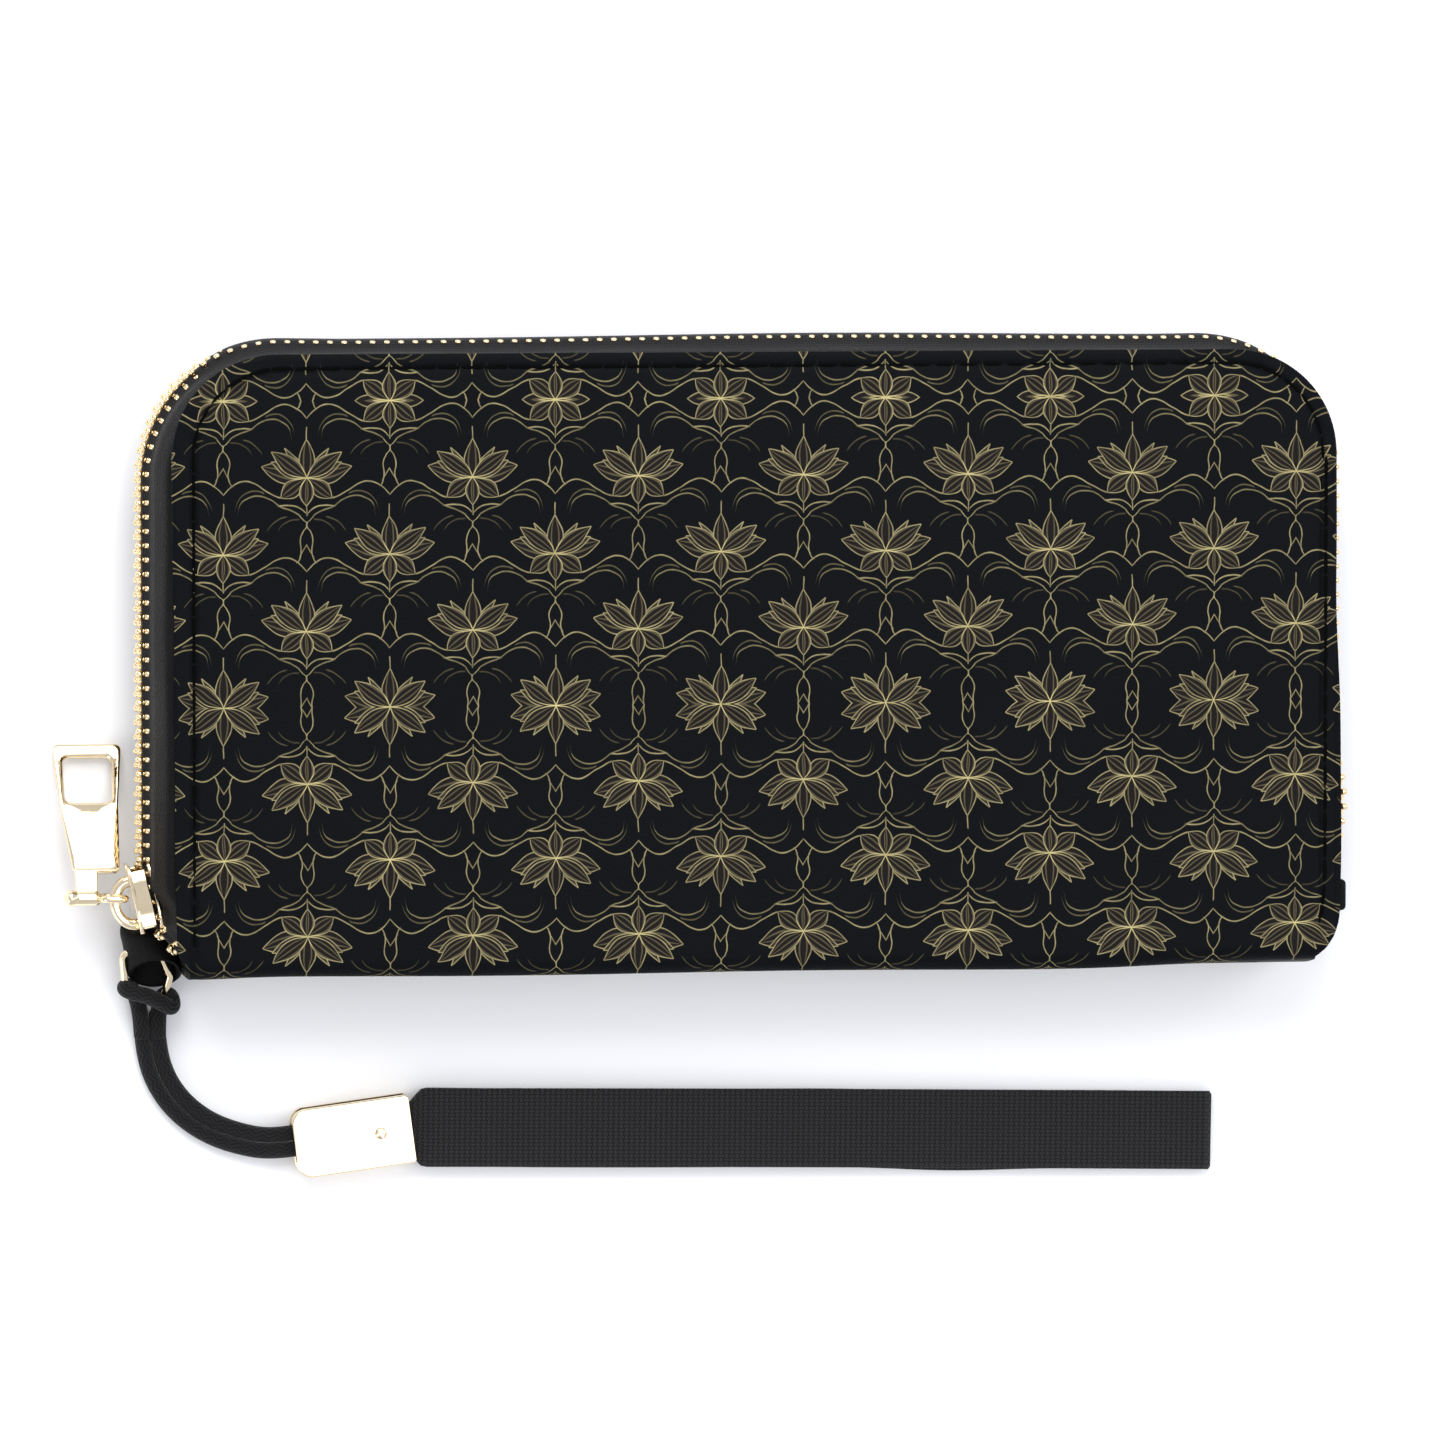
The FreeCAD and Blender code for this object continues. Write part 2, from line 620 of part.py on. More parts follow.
def strand(points):
    corners = [Vector(*p) for p in points]
    edges, here = [], corners[0]
    radii, length = [], 0
    for k in range(1, len(corners) - 1):
        back, ahead = corners[k - 1] - corners[k], corners[k + 1] - corners[k]
        turn = math.pi - back.getAngle(ahead)
        reach = 0.45 * min(back.Length, ahead.Length)
        radius = reach / math.tan(turn / 2)
        back.normalize()
        ahead.normalize()
        centre = corners[k] + (back + ahead).normalize() * (radius / math.cos(turn / 2))
        first, last = corners[k] + back * reach, corners[k] + ahead * reach
        middle = centre + (corners[k] - centre).normalize() * radius
        edges += [Part.LineSegment(here, first).toShape(), Part.Arc(first, middle, last).toShape()]
        here = last
        radii.append(round(radius, 1))
    edges.append(Part.LineSegment(here, corners[-1]).toShape())
    path = Part.Wire(edges)
    section = Part.Wire([Part.Circle(corners[0], corners[1] - corners[0], cord_r).toShape()])
    tube = path.makePipeShell([section], True, False)
    whole = math.pi * cord_r**2 * path.Length
    print("strand length", round(path.Length, 1), "radii", radii)
    print("volume over section times length", round(tube.Volume / whole, 4))
    return tube


# each strand starts at a knot on the ring and ends inside the clamp's mouth
clamp_turn = Rotation(Vector(0, 0, 1), cell("clamp_turn"))
clamp_place = Placement(Vector(-cell("clamp_x"), -cell("clamp_y"), 0), clamp_turn)
clamp_half = cell("clamp_length") / 2
mouth_in, apart = 3.5, 1.35
ends = []
for side in (1, -1):
    local = Vector(-clamp_half + mouth_in, side * apart, cell("clamp_height") / 2)
    ends.append(clamp_place.multVec(local))
strand_1 = [
    (-94.0, -57.7, 2.0),
    (-93.66, -62.4, 1.3),
    (-92.6, -67.1, 1.3),
    (-90.0, -71.35, 1.3),
    (-86.0, -74.7, 1.35),
    (-81.2, -76.75, 1.7),
    (-74.9, -77.95, 2.4),
    tuple(ends[0]),
]
strand_2 = [
    (-96.6, -57.7, 2.0),
    (-96.25, -62.8, 1.3),
    (-95.0, -68.1, 1.3),
    (-92.0, -73.05, 1.3),
    (-87.4, -76.9, 1.35),
    (-82.0, -79.25, 1.7),
    (-75.0, -80.55, 2.4),
    tuple(ends[1]),
]
shape_node("cord_strand_1", strand(strand_1))
shape_node("cord_strand_2", strand(strand_2))

# the hitch: the cord's turns over the ring's lower bar, one knot with two lobes
hitch_z = 3.1
knot = Part.makeCylinder(2.1, 6.2, Vector(-99.1, -56.0, hitch_z), Vector(1, 0, 0))
knot = knot.fuse(Part.makeSphere(2.2, Vector(-98.9, -55.9, hitch_z)))
knot = knot.fuse(Part.makeSphere(2.2, Vector(-92.7, -56.6, hitch_z)))
ring_solid = nodes[-3].Shape
knot = knot.cut(ring_solid)
knot = knot.cut(nodes[-2].Shape).cut(nodes[-1].Shape)
knot = max(knot.Solids, key=lambda s: s.Volume)
shape_node("cord_hitch", knot)

# the clamp: a front plate, a back shell and a screw, over the cord's ends and the webbing's end
clamp_w, clamp_h, clamp_t = cell("clamp_width") / 2, cell("clamp_height"), cell("clamp_wall")
shell = box(-clamp_half, clamp_half, -clamp_w, clamp_w, 0.1, clamp_h - clamp_t)
shell = shell.makeFillet(2.4, [e for e in shell.Edges if e.BoundBox.ZLength > 2 and e.CenterOfMass.x < 0])
hollow = box(-clamp_half + clamp_t, clamp_half + 1, -clamp_w + clamp_t, clamp_w - clamp_t, 0.1 + clamp_t, 9)
shell = shell.cut(hollow)
mouth_z = clamp_h / 2
gate_half = apart + cord_r + 0.5
cord_gate = box(-clamp_half - 1, -clamp_half + 3, -gate_half, gate_half, mouth_z - 1.5, mouth_z + 1.5)
shell = shell.cut(cord_gate)
shape_node("clamp_back_shell", shell, clamp_place)
front = box(-clamp_half, clamp_half, -clamp_w, clamp_w, clamp_h - clamp_t, clamp_h)
front = front.makeFillet(2.4, [e for e in front.Edges if e.BoundBox.ZLength > 0.5 and e.CenterOfMass.x < 0])
screw_x = clamp_half - 5.2
screw_r, head_r = 0.7, cell("screw_head")
front = front.cut(Part.makeCylinder(screw_r, 4, Vector(screw_x, 0, clamp_h - 2)))
front = front.cut(Part.makeCylinder(head_r, 0.4, Vector(screw_x, 0, clamp_h - 0.4)))
shape_node("clamp_front_plate", front, clamp_place)
screw = Part.makeCylinder(screw_r, clamp_h - 0.4 - 0.1 - clamp_t, Vector(screw_x, 0, 0.1 + clamp_t))
screw = screw.fuse(Part.makeCylinder(head_r, 0.4, Vector(screw_x, 0, clamp_h - 0.4)))
for turn in (0, 90):
    slot = box(-0.8, 0.8, -0.16, 0.16, -0.25, 0.1)
    slot.rotate(Vector(0, 0, 0), Vector(0, 0, 1), turn + 20)
    slot.translate(Vector(screw_x, 0, clamp_h))
    screw = screw.cut(slot)
shape_node("clamp_screw", screw.removeSplitter(), clamp_place)

# the webbing: one tape folded in two at its far end, its two ends in the clamp
web_w, web_t, web_l = cell("web_width") / 2, cell("web_thick"), cell("web_length")
web_z = cell("clamp_height") / 2
web_in = 7.6
web_angle = -0.3
waist = clamp_w - clamp_t - 1.25
gap = cell("web_gap") / 2
web_outline = [(-web_in, -waist), (1, -waist), (4, -web_w), (web_l, -web_w), (web_l, web_w), (4, web_w)]
web_outline += [(1, waist), (-web_in, waist)]
upper = prism([(x, y, gap) for x, y in web_outline], Vector(0, 0, web_t))
lower = prism([(x, y, -gap - web_t) for x, y in web_outline], Vector(0, 0, web_t))
fold = box(web_l - 1, web_l, -web_w, web_w, -gap, gap)
webbing = upper.fuse(lower).fuse(fold)
# the screw's hole, which stands askew because the clamp is turned on the webbing
skew = Rotation(Vector(0, 0, 1), cell("clamp_turn") - web_angle)
hole_at = skew.multVec(Vector(screw_x - clamp_half, 0, 0))
webbing = webbing.cut(Part.makeCylinder(screw_r + 0.1, 20, hole_at + Vector(0, 0, -10)))
end_point = clamp_place.multVec(Vector(clamp_half, 0, 0))
droop = math.degrees(math.asin((web_z - web_t - gap - 0.15) / web_l))
web_turn = Rotation(Vector(0, 0, 1), web_angle) * Rotation(Vector(0, 1, 0), droop)
web_place = Placement(Vector(end_point.x, end_point.y, web_z), web_turn)
webbing = webbing.removeSplitter()
shape_node("webbing", webbing, web_place)

# seam threads, stitch by stitch, sunk in a row round the three zip sides of each cover
seam_inset, stitch, stitch_gap, thread = 3.2, 3.0, 0.9, 0.35


def seam(z):
    half_l, half_d = cell("wallet_length") / 2 - seam_inset, cell("wallet_depth") / 2 - seam_inset
    radius = cell("corner_radius") - seam_inset
    side_run, turn_run = half_d * 2 - radius - 3, radius * math.pi / 2
    top_run = 2 * (half_l - radius)
    total = 2 * side_run + 2 * turn_run + top_run
    pieces = []
    for k in range(int(total / (stitch + stitch_gap))):
        s = (k + 0.5) * (stitch + stitch_gap)
        if s < side_run:
            spot, angle = Vector(-half_l, -half_d + 3 + s, z), 90
        elif s < side_run + turn_run:
            t = math.pi - (s - side_run) / radius
            spot = Vector(-half_l + radius + radius * math.cos(t), half_d - radius + radius * math.sin(t), z)
            angle = math.degrees(t) - 90
        elif s < side_run + turn_run + top_run:
            spot, angle = Vector(-half_l + radius + s - side_run - turn_run, half_d, z), 0
        elif s < side_run + 2 * turn_run + top_run:
            t = math.pi / 2 - (s - side_run - turn_run - top_run) / radius
            spot = Vector(half_l - radius + radius * math.cos(t), half_d - radius + radius * math.sin(t), z)
            angle = math.degrees(t) - 90
        else:
            spot = Vector(half_l, half_d - radius - (s - side_run - 2 * turn_run - top_run), z)
            angle = -90
        piece = box(-stitch / 2, stitch / 2, -thread / 2, thread / 2, -thread / 2, thread / 2)
        piece.rotate(Vector(0, 0, 0), Vector(0, 0, 1), angle)
        piece.translate(spot)
        pieces.append(piece)
    return Part.makeCompound(pieces)


sink = cell("cover_thick") + thread / 2
shape_node("seam_thread_back", seam(sink))
shape_node("seam_thread_front", seam(cell("wallet_thick") - sink))

# nothing is written unless every object is sound
doc.recompute()
for thing in doc.Objects:
    if {"Invalid", "Error"} & set(thing.State):
        raise SystemExit(f"{thing.Name} failed: {thing.State}")
for node in nodes:
    if node.Shape.isNull() or not node.Shape.isValid() or not node.Shape.Solids:
        raise SystemExit(f"{node.Label} has no valid solid")

os.makedirs("parts", exist_ok=True)
for node in nodes:
    node.Shape.exportStep(f"parts/{node.Label}.step")
    size = node.Shape.BoundBox
    spans = (size.XMin, size.XMax, size.YMin, size.YMax, size.ZMin, size.ZMax)
    print(node.Label, [round(v, 1) for v in spans])
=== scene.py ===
import json
import math

import bmesh
import bpy
import numpy as np
from mathutils import Matrix, Vector

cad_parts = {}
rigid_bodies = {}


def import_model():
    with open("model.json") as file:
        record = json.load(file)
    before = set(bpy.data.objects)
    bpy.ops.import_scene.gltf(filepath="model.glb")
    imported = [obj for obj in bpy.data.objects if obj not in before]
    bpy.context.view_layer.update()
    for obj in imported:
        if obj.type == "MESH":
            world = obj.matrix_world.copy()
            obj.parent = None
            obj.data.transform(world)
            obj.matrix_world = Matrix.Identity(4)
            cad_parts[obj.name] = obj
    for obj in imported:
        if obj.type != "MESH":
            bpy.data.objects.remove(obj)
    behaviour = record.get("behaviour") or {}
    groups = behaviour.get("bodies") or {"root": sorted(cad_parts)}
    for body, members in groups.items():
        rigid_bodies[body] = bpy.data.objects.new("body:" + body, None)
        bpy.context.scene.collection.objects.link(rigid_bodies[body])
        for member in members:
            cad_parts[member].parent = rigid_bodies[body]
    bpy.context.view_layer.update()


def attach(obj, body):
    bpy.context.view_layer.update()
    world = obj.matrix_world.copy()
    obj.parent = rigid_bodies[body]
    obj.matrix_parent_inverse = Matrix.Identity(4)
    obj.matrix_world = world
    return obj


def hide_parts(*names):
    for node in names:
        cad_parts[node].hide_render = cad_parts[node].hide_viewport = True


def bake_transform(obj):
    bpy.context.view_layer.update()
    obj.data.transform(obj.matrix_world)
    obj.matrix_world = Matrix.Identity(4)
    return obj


# A zip-around wallet in printed leathercloth with a wrist strap. Everything is in metres.
mm = 0.001
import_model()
print("frame loaded")

view = {
    "target": (-2.1, -11.9, 0.0),  # what the middle of the picture looks at, mm
    "leanX": -0.13,  # how far the camera stands to the left, per unit of height
    "leanY": 0.07,  # how far it stands towards the top zip, per unit of height
    "height": 2400.0,
    "span": 233.0,  # width of the picture at the table, mm
}


def makeCamera():
    # the camera looks down on the wallet with +Y towards the top of the picture
    target = Vector(view["target"]) * mm
    place = target + Vector((view["leanX"], view["leanY"], 1.0)) * view["height"] * mm
    ahead = (target - place).normalized()
    right = ahead.cross(Vector((0, 1, 0))).normalized()
    up = right.cross(ahead)
    data = bpy.data.cameras.new("camera")
    data.sensor_width = 36.0
    data.lens = 36.0 * (target - place).length / (view["span"] * mm)
    data.clip_end = 20.0
    camera = bpy.data.objects.new("camera", data)
    turn = Matrix((right, up, -ahead)).transposed().to_4x4()
    camera.matrix_world = Matrix.Translation(place) @ turn
    bpy.context.collection.objects.link(camera)
    bpy.context.scene.camera = camera


def areaLight(name, place, aim, size, power, colour=(1, 1, 1)):
    data = bpy.data.lights.new(name, "AREA")
    data.shape = "RECTANGLE"
    data.size, data.size_y = size
    data.energy = power
    data.color = colour
    light = bpy.data.objects.new(name, data)
    light.location = place
    light.rotation_euler = (Vector(aim) - Vector(place)).to_track_quat("-Z", "Y").to_euler()
    bpy.context.collection.objects.link(light)


makeCamera()
areaLight("keyLight", (-0.2, 0.85, 0.95), (0, 0, 0), (0.9, 0.9), 13, (1.0, 0.99, 0.97))
areaLight("topSoftbox", (0.195, -0.105, 1.5), (0, -0.02, 0), (0.7, 0.7), 3.2)
areaLight("fillLight", (0.9, 0.2, 1.0), (0, 0, 0), (0.8, 0.8), 5, (0.95, 0.97, 1.0))
areaLight("lowLight", (-0.9, -0.6, 0.6), (0, 0, 0), (0.6, 0.5), 3, (1.0, 0.97, 0.93))
world = bpy.data.worlds.new("studio")
world.use_nodes = True
world.node_tree.nodes["Background"].inputs["Color"].default_value = (0.92, 0.94, 1.0, 1)
world.node_tree.nodes["Background"].inputs["Strength"].default_value = 0.75
bpy.context.scene.world = world
bpy.context.scene.view_settings.view_transform = "Standard"
print("camera and lights placed")


class Signal:
    # a number on its way through the shader nodes; sums and products of signals add the nodes they need

    def __init__(self, web, socket):
        self.web = web
        self.socket = socket

    def __abs__(self):
        return self.web.math("ABSOLUTE", self)

    def sine(self):
        return self.web.math("SINE", self)


def signalOperation(operation, swapped):
    def work(first, second):
        values = (second, first) if swapped else (first, second)
        return first.web.math(operation, *values)

    return work


operations = {"add": "ADD", "sub": "SUBTRACT", "mul": "MULTIPLY", "truediv": "DIVIDE", "pow": "POWER"}
for word, operation in operations.items():
    setattr(Signal, f"__{word}__", signalOperation(operation, False))
    setattr(Signal, f"__r{word}__", signalOperation(operation, True))


class Web:
    # adds nodes to one tree and joins them

    def __init__(self, tree):
        self.tree = tree

    def add(self, kind, **settings):
        node = self.tree.nodes.new("ShaderNode" + kind)
        for key, value in settings.items():
            setattr(node, key, value)
        return node

    def put(self, socket, value):
        if isinstance(value, Signal):
            self.tree.links.new(value.socket, socket)
        else:
            socket.default_value = value

    def math(self, operation, *values):
        node = self.add("Math", operation=operation)
        for socket, value in zip(node.inputs, values):
            self.put(socket, value)
        return Signal(self, node.outputs[0])

    def ramp(self, value, low, high, start=0.0, end=1.0):
        # a smooth step from start to end as the value goes from low to high
        node = self.add("MapRange", interpolation_type="SMOOTHSTEP")
        for socket, number in zip(node.inputs, (value, low, high, start, end)):
            self.put(socket, number)
        return Signal(self, node.outputs[0])

    def mix(self, factor, a, b):
        node = self.add("Mix", data_type="RGBA")
        self.put(node.inputs[0], factor)
        for socket, value in ((node.inputs[6], a), (node.inputs[7], b)):
            self.put(socket, (*value, 1.0) if isinstance(value, tuple) else value)
        return Signal(self, node.outputs[2])

    def noise(self, vector, scale, detail=3.0, rough=0.55):
        node = self.add("TexNoise")
        for key, value in (("Vector", vector), ("Scale", scale), ("Detail", detail), ("Roughness", rough)):
            self.put(node.inputs[key], value)
        return Signal(self, node.outputs["Fac"])

    def curve(self, value, points, low, high, least, most):
        # a smooth curve through a few points: the value runs from low to high, the answer from least to most
        node = self.add("FloatCurve")
        self.put(node.inputs["Value"], (value - low) / (high - low))
        line = node.mapping.curves[0]
        node.mapping.use_clip = False
        for k, (x, y) in enumerate(points):
            place = ((x - low) / (high - low), (y - least) / (most - least))
            if k < 2:
                line.points[k].location = place
            else:
                line.points.new(*place)
        node.mapping.update()
        return Signal(self, node.outputs[0]) * (most - least) + least

    def group(self, name, values):
        node = self.add("Group")
        node.node_tree = bpy.data.node_groups[name]
        for key, value in values.items():
            self.put(node.inputs[key], value)
        return {socket.name: Signal(self, socket) for socket in node.outputs}


def newGroup(name, inputs, outputs):
    # a node group: an input without a value of its own is a vector, the rest are numbers
    tree = bpy.data.node_groups.new(name, "ShaderNodeTree")
    for label, value in inputs.items():
        kind = "NodeSocketVector" if value is None else "NodeSocketFloat"
        socket = tree.interface.new_socket(label, in_out="INPUT", socket_type=kind)
        if value is not None:
            socket.default_value = value
    for label in outputs:
        tree.interface.new_socket(label, in_out="OUTPUT", socket_type="NodeSocketFloat")
    web = Web(tree)
    source = web.tree.nodes.new("NodeGroupInput")
    sink = web.tree.nodes.new("NodeGroupOutput")
    return web, {socket.name: Signal(web, socket) for socket in source.outputs}, sink.inputs


def petalGroup():
    # one pointed petal: half its width is a sine of how far along it a point lies
    given = {"X": 0.0, "Y": 0.0, "Angle": 0.0, "Length": 6.0, "Half Width": 1.2, "Belly": 0.85, "Line": 0.13}
    web, given, out = newGroup("petal", given, ("Fill", "Edge", "Veins"))
    cos, sin = web.math("COSINE", given["Angle"]), given["Angle"].sine()
    along = given["X"] * cos + given["Y"] * sin
    across = given["Y"] * cos - given["X"] * sin
    share = along / given["Length"]
    inside = web.math("GREATER_THAN", share, 0.0) * web.math("LESS_THAN", share, 1.0)
    bent = web.math("MAXIMUM", web.math("MINIMUM", share, 1.0), 0.0) ** given["Belly"]
    half = (bent * math.pi).sine() * given["Half Width"]
    gap = abs(across) - half
    fill = web.ramp(gap, 0.03, -0.03) * inside
    lines = (across / (half + 0.15) * 11.0).sine()
    web.put(out["Fill"], fill)
    web.put(out["Edge"], web.ramp(abs(gap), given["Line"], 0.02) * inside)
    web.put(out["Veins"], web.ramp(lines, 0.3, 1.0) * fill)


def grainGroup():
    # leathercloth grain: small cells with soft creases between them, and a slow change of tone
    web, given, out = newGroup("grain", {"Vector": None, "Scale": 900.0}, ("Height", "Tone"))
    cells = web.add("TexVoronoi", feature="DISTANCE_TO_EDGE")
    web.put(cells.inputs["Vector"], given["Vector"])
    web.put(cells.inputs["Scale"], given["Scale"])
    pebble = web.ramp(Signal(web, cells.outputs["Distance"]), 0.0, 0.28)
    fine = web.noise(given["Vector"], given["Scale"] * 2.6, 2.0, 0.5)
    web.put(out["Height"], pebble + fine * 0.5)
    web.put(out["Tone"], web.noise(given["Vector"], 45.0, 4.0))


def weaveGroup():
    # a woven cloth on its flat coordinates: warp over weft, each thread a rounded rib
    given = {"U": 0.0, "V": 0.0, "Pitch U": 0.0005, "Pitch V": 0.0005}
    web, given, out = newGroup("weave", given, ("Height",))
    ribU = (given["U"] / given["Pitch U"] * math.pi).sine()
    ribV = (given["V"] / given["Pitch V"] * math.pi).sine()
    over = web.ramp(ribU * ribV, -0.25, 0.25)
    web.put(out["Height"], abs(ribU) * over + abs(ribV) * (1.0 - over))


def handlingGroup():
    # finger marks and fine rubbing: a mask that runs from clean to dulled
    web, given, out = newGroup("handling", {"Vector": None, "Scale": 60.0}, ("Dulled",))
    stretched = web.add("VectorMath", operation="MULTIPLY")
    web.put(stretched.inputs[0], given["Vector"])
    stretched.inputs[1].default_value = (0.12, 1.0, 1.0)
    wide = web.noise(given["Vector"], given["Scale"], 4.0, 0.5)
    streaks = web.noise(Signal(web, stretched.outputs[0]), 2400.0, 2.0, 0.5)
    web.put(out["Dulled"], web.ramp(wide, 0.42, 0.72) * web.ramp(streaks, 0.3, 0.8, 0.6, 1.0))


petalGroup()
grainGroup()
weaveGroup()
handlingGroup()
materials = {}


def newMaterial(name, **sockets):
    material = bpy.data.materials.new(name)
    material.use_nodes = True
    shader = material.node_tree.nodes["Principled BSDF"]
    for key, value in sockets.items():
        shader.inputs[key.replace("_", " ")].default_value = value
    materials[name] = material
    return Web(material.node_tree), shader.inputs


def flatUv(web):
    # the piece's own flat coordinates, in metres
    node = web.add("UVMap", uv_map="flat")
    flat = Signal(web, node.outputs[0])
    parts = web.add("SeparateXYZ")
    web.put(parts.inputs[0], flat)
    return Signal(web, parts.outputs[0]), Signal(web, parts.outputs[1]), flat


def objectPlace(web):
    return Signal(web, web.add("TexCoord").outputs["Object"])


def bumpTo(web, shader, height, distance, strength):
    bump = web.add("Bump")
    web.put(bump.inputs["Height"], height)
    bump.inputs["Distance"].default_value = distance
    bump.inputs["Strength"].default_value = strength
    web.put(shader["Normal"], Signal(web, bump.outputs[0]))


# the print: millimetres on the flat sheet, flowers in staggered rows that mirror every fourth row
printed = {
    "column": 26.55,  # from one flower to the next in a row
    "row": 12.2,  # from one row of flowers to the next
    "mirrorRows": 4,  # rows between two mirror lines
    "shiftX": -5.6,  # a flower of the mirror line stands this far from the sheet's middle
    "shiftY": -7.2,  # the mirror line's height on the sheet
    "line": 0.145,
    "ground": (0.0030, 0.0036, 0.0046),
    "petal": (0.0105, 0.0085, 0.0085),
    "gold": (0.34, 0.295, 0.15),
    "bright": (0.6, 0.52, 0.24),
    # the petals from the back to the front: angle in degrees, length, half width, belly
    "petals": (
        (53, 5.9, 0.62, 0.8),
        (14, 7.4, 1.75, 0.9),
        (24, 6.2, 1.05, 0.9),
        (90, 6.1, 1.25, 0.85),
        (36, 7.0, 1.25, 0.95),
        (-38, 5.2, 1.35, 1.25),
        (-90, 4.5, 1.1, 1.0),
    ),
    # the lattice: height of each thin line against the distance from the flower's own column,
    # then where it starts and ends, and how strong it is
    "waves": (
        ([(0, -3.2), (4.1, -3.2), (6.6, -2.0), (8.6, -0.8), (10.1, -0.52), (11.66, -1.17), (13.28, -2.75)],
         4.0, 13.6, 1.0),
        ([(0, -5.9), (1.1, -4.85), (2.8, -4.4), (4.7, -4.5), (13.28, -4.6)], 0.0, 4.8, 1.0),
        ([(0, -7.2), (1.0, -6.1), (2.4, -5.25), (4.3, -4.55), (5.7, -3.5), (7.5, -2.9), (9.3, -3.2),
          (10.6, -4.3), (11.0, -6.0), (13.28, -12)], 0.8, 11.1, 0.62),
        ([(0, -5.0), (6.0, -2.9), (7.5, -2.2), (9.6, -2.4), (10.9, -3.7), (11.5, -5.4), (13.28, -12)],
         6.6, 11.6, 0.33),
        ([(0, 0), (6.0, 1.5), (6.9, 3.6), (8.4, 5.3), (10.0, 6.0), (13.28, 6.2)], 6.9, 10.4, 0.25),
        ([(0, 0), (8.0, 0.8), (8.8, 3.9), (10.4, 5.3), (12.2, 5.6), (13.28, 5.6)], 8.6, 12.4, 0.18),
    ),
    # half the almond's width against its height, on the line between two columns
    "almond": [(-1.3, 1.5), (-0.5, 1.05), (0.6, 0.85), (2.3, 1.0), (3.6, 0.6), (4.74, 0.0), (5.4, 0.5),
               (6.2, 1.2)],
}


def latticeLines(web, side, up):
    # the thin lines: side is the distance from a flower's column, up the height over its row
    line, drawn = printed["line"], 0.0
    for points, low, high, weight in printed["waves"]:
        gap = abs(up - web.curve(side, points, 0.0, 13.28, -14.0, 8.0))
        ends = web.ramp(side, low - 0.01, low + 0.35) * web.ramp(side, high, high - 0.6)
        drawn = web.math("MAXIMUM", drawn, web.ramp(gap, line + 0.04, 0.02) * ends * weight)
    fromEdge = printed["column"] / 2 - side
    gap = abs(fromEdge - web.curve(up, printed["almond"], -1.4, 6.2, 0.0, 2.0))
    drawn = web.math("MAXIMUM", drawn, web.ramp(gap, line, 0.02) * web.ramp(up, -1.5, -1.2))
    # a small peak inside the almond, the stem under it and the tail under the flower
    gap = abs(up - (1.5 - fromEdge * 1.65))
    peak = web.ramp(gap, line * 1.6, 0.03) * web.ramp(fromEdge, 1.3, 1.0, 0.0, 0.8)
    stem = web.ramp(fromEdge, line, 0.01) * web.ramp(up, -4.0, -4.25)
    tail = web.ramp(side, line, 0.01) * web.ramp(up, -4.4, -4.6) * 0.8
    for mask in (peak, stem, tail):
        drawn = web.math("MAXIMUM", drawn, mask)
    return drawn


def printedCoverMaterial():
    web, shader = newMaterial("printedCover", Specular_IOR_Level=0.04)
    u, v, flat = flatUv(web)
    row, column = printed["row"], printed["column"]
    wander = (web.noise(flat, 260.0, 1.0) - 0.5) * 0.45
    x = u * 1000.0 - printed["shiftX"] + wander
    y = v * 1000.0 - printed["shiftY"]
    # how far from a mirror line, which row that is in, and the height over the row's middle
    away = web.math("PINGPONG", abs(y), row * printed["mirrorRows"])
    count = web.math("ROUND", away / row)
    up = away - count * row + wander * 0.7
    shifted = x + web.math("MODULO", count, 2.0) * (column / 2)
    side = abs(web.math("WRAP", shifted, column / 2, -column / 2))
    # the lattice first, so that the flowers lie over it
    drawn = latticeLines(web, side, up)
    fills, veins = 0.0, 0.0
    for angle, length, half, belly in printed["petals"]:
        values = {"X": side, "Y": up, "Angle": math.radians(angle), "Length": length, "Half Width": half,
                  "Belly": belly, "Line": printed["line"]}
        petal = web.group("petal", values)
        clear = 1.0 - petal["Fill"]
        drawn = web.math("MAXIMUM", clear * drawn, petal["Edge"])
        veins = web.math("MAXIMUM", clear * veins, petal["Veins"])
        fills = web.math("MAXIMUM", fills, petal["Fill"])
    heart = web.ramp(web.math("SQRT", side * side + up * up), 3.2, 0.2)
    ink = web.ramp(web.noise(flat, 620.0, 2.0), 0.25, 0.7, 0.62, 1.0)
    cloud = web.ramp(web.noise(flat, 70.0, 3.0), 0.3, 0.7, 0.8, 1.0)
    colour = web.mix(fills, printed["ground"], printed["petal"])
    colour = web.mix(veins * 0.2, colour, printed["gold"])
    gold = web.mix(heart, printed["gold"], printed["bright"])
    web.put(shader["Base Color"], web.mix(drawn * (ink * cloud) * 0.92, colour, gold))
    grain = web.group("grain", {"Vector": flat, "Scale": 1700.0})
    web.put(shader["Roughness"], web.ramp(grain["Tone"], 0.2, 0.8, 0.46, 0.6))
    bumpTo(web, shader, grain["Height"], 0.00005, 0.55)


def leatherMaterial(name, colour, scale, rough, depth, uv=False):
    web, shader = newMaterial(name, Specular_IOR_Level=0.08)
    where = flatUv(web)[2] if uv else objectPlace(web)
    grain = web.group("grain", {"Vector": where, "Scale": scale})
    lighter = tuple(c * 1.5 for c in colour)
    web.put(shader["Base Color"], web.mix(web.ramp(grain["Tone"], 0.3, 0.7), colour, lighter))
    web.put(shader["Roughness"], web.ramp(grain["Tone"], 0.25, 0.75, rough - 0.07, rough + 0.07))
    bumpTo(web, shader, grain["Height"], depth, 0.7)


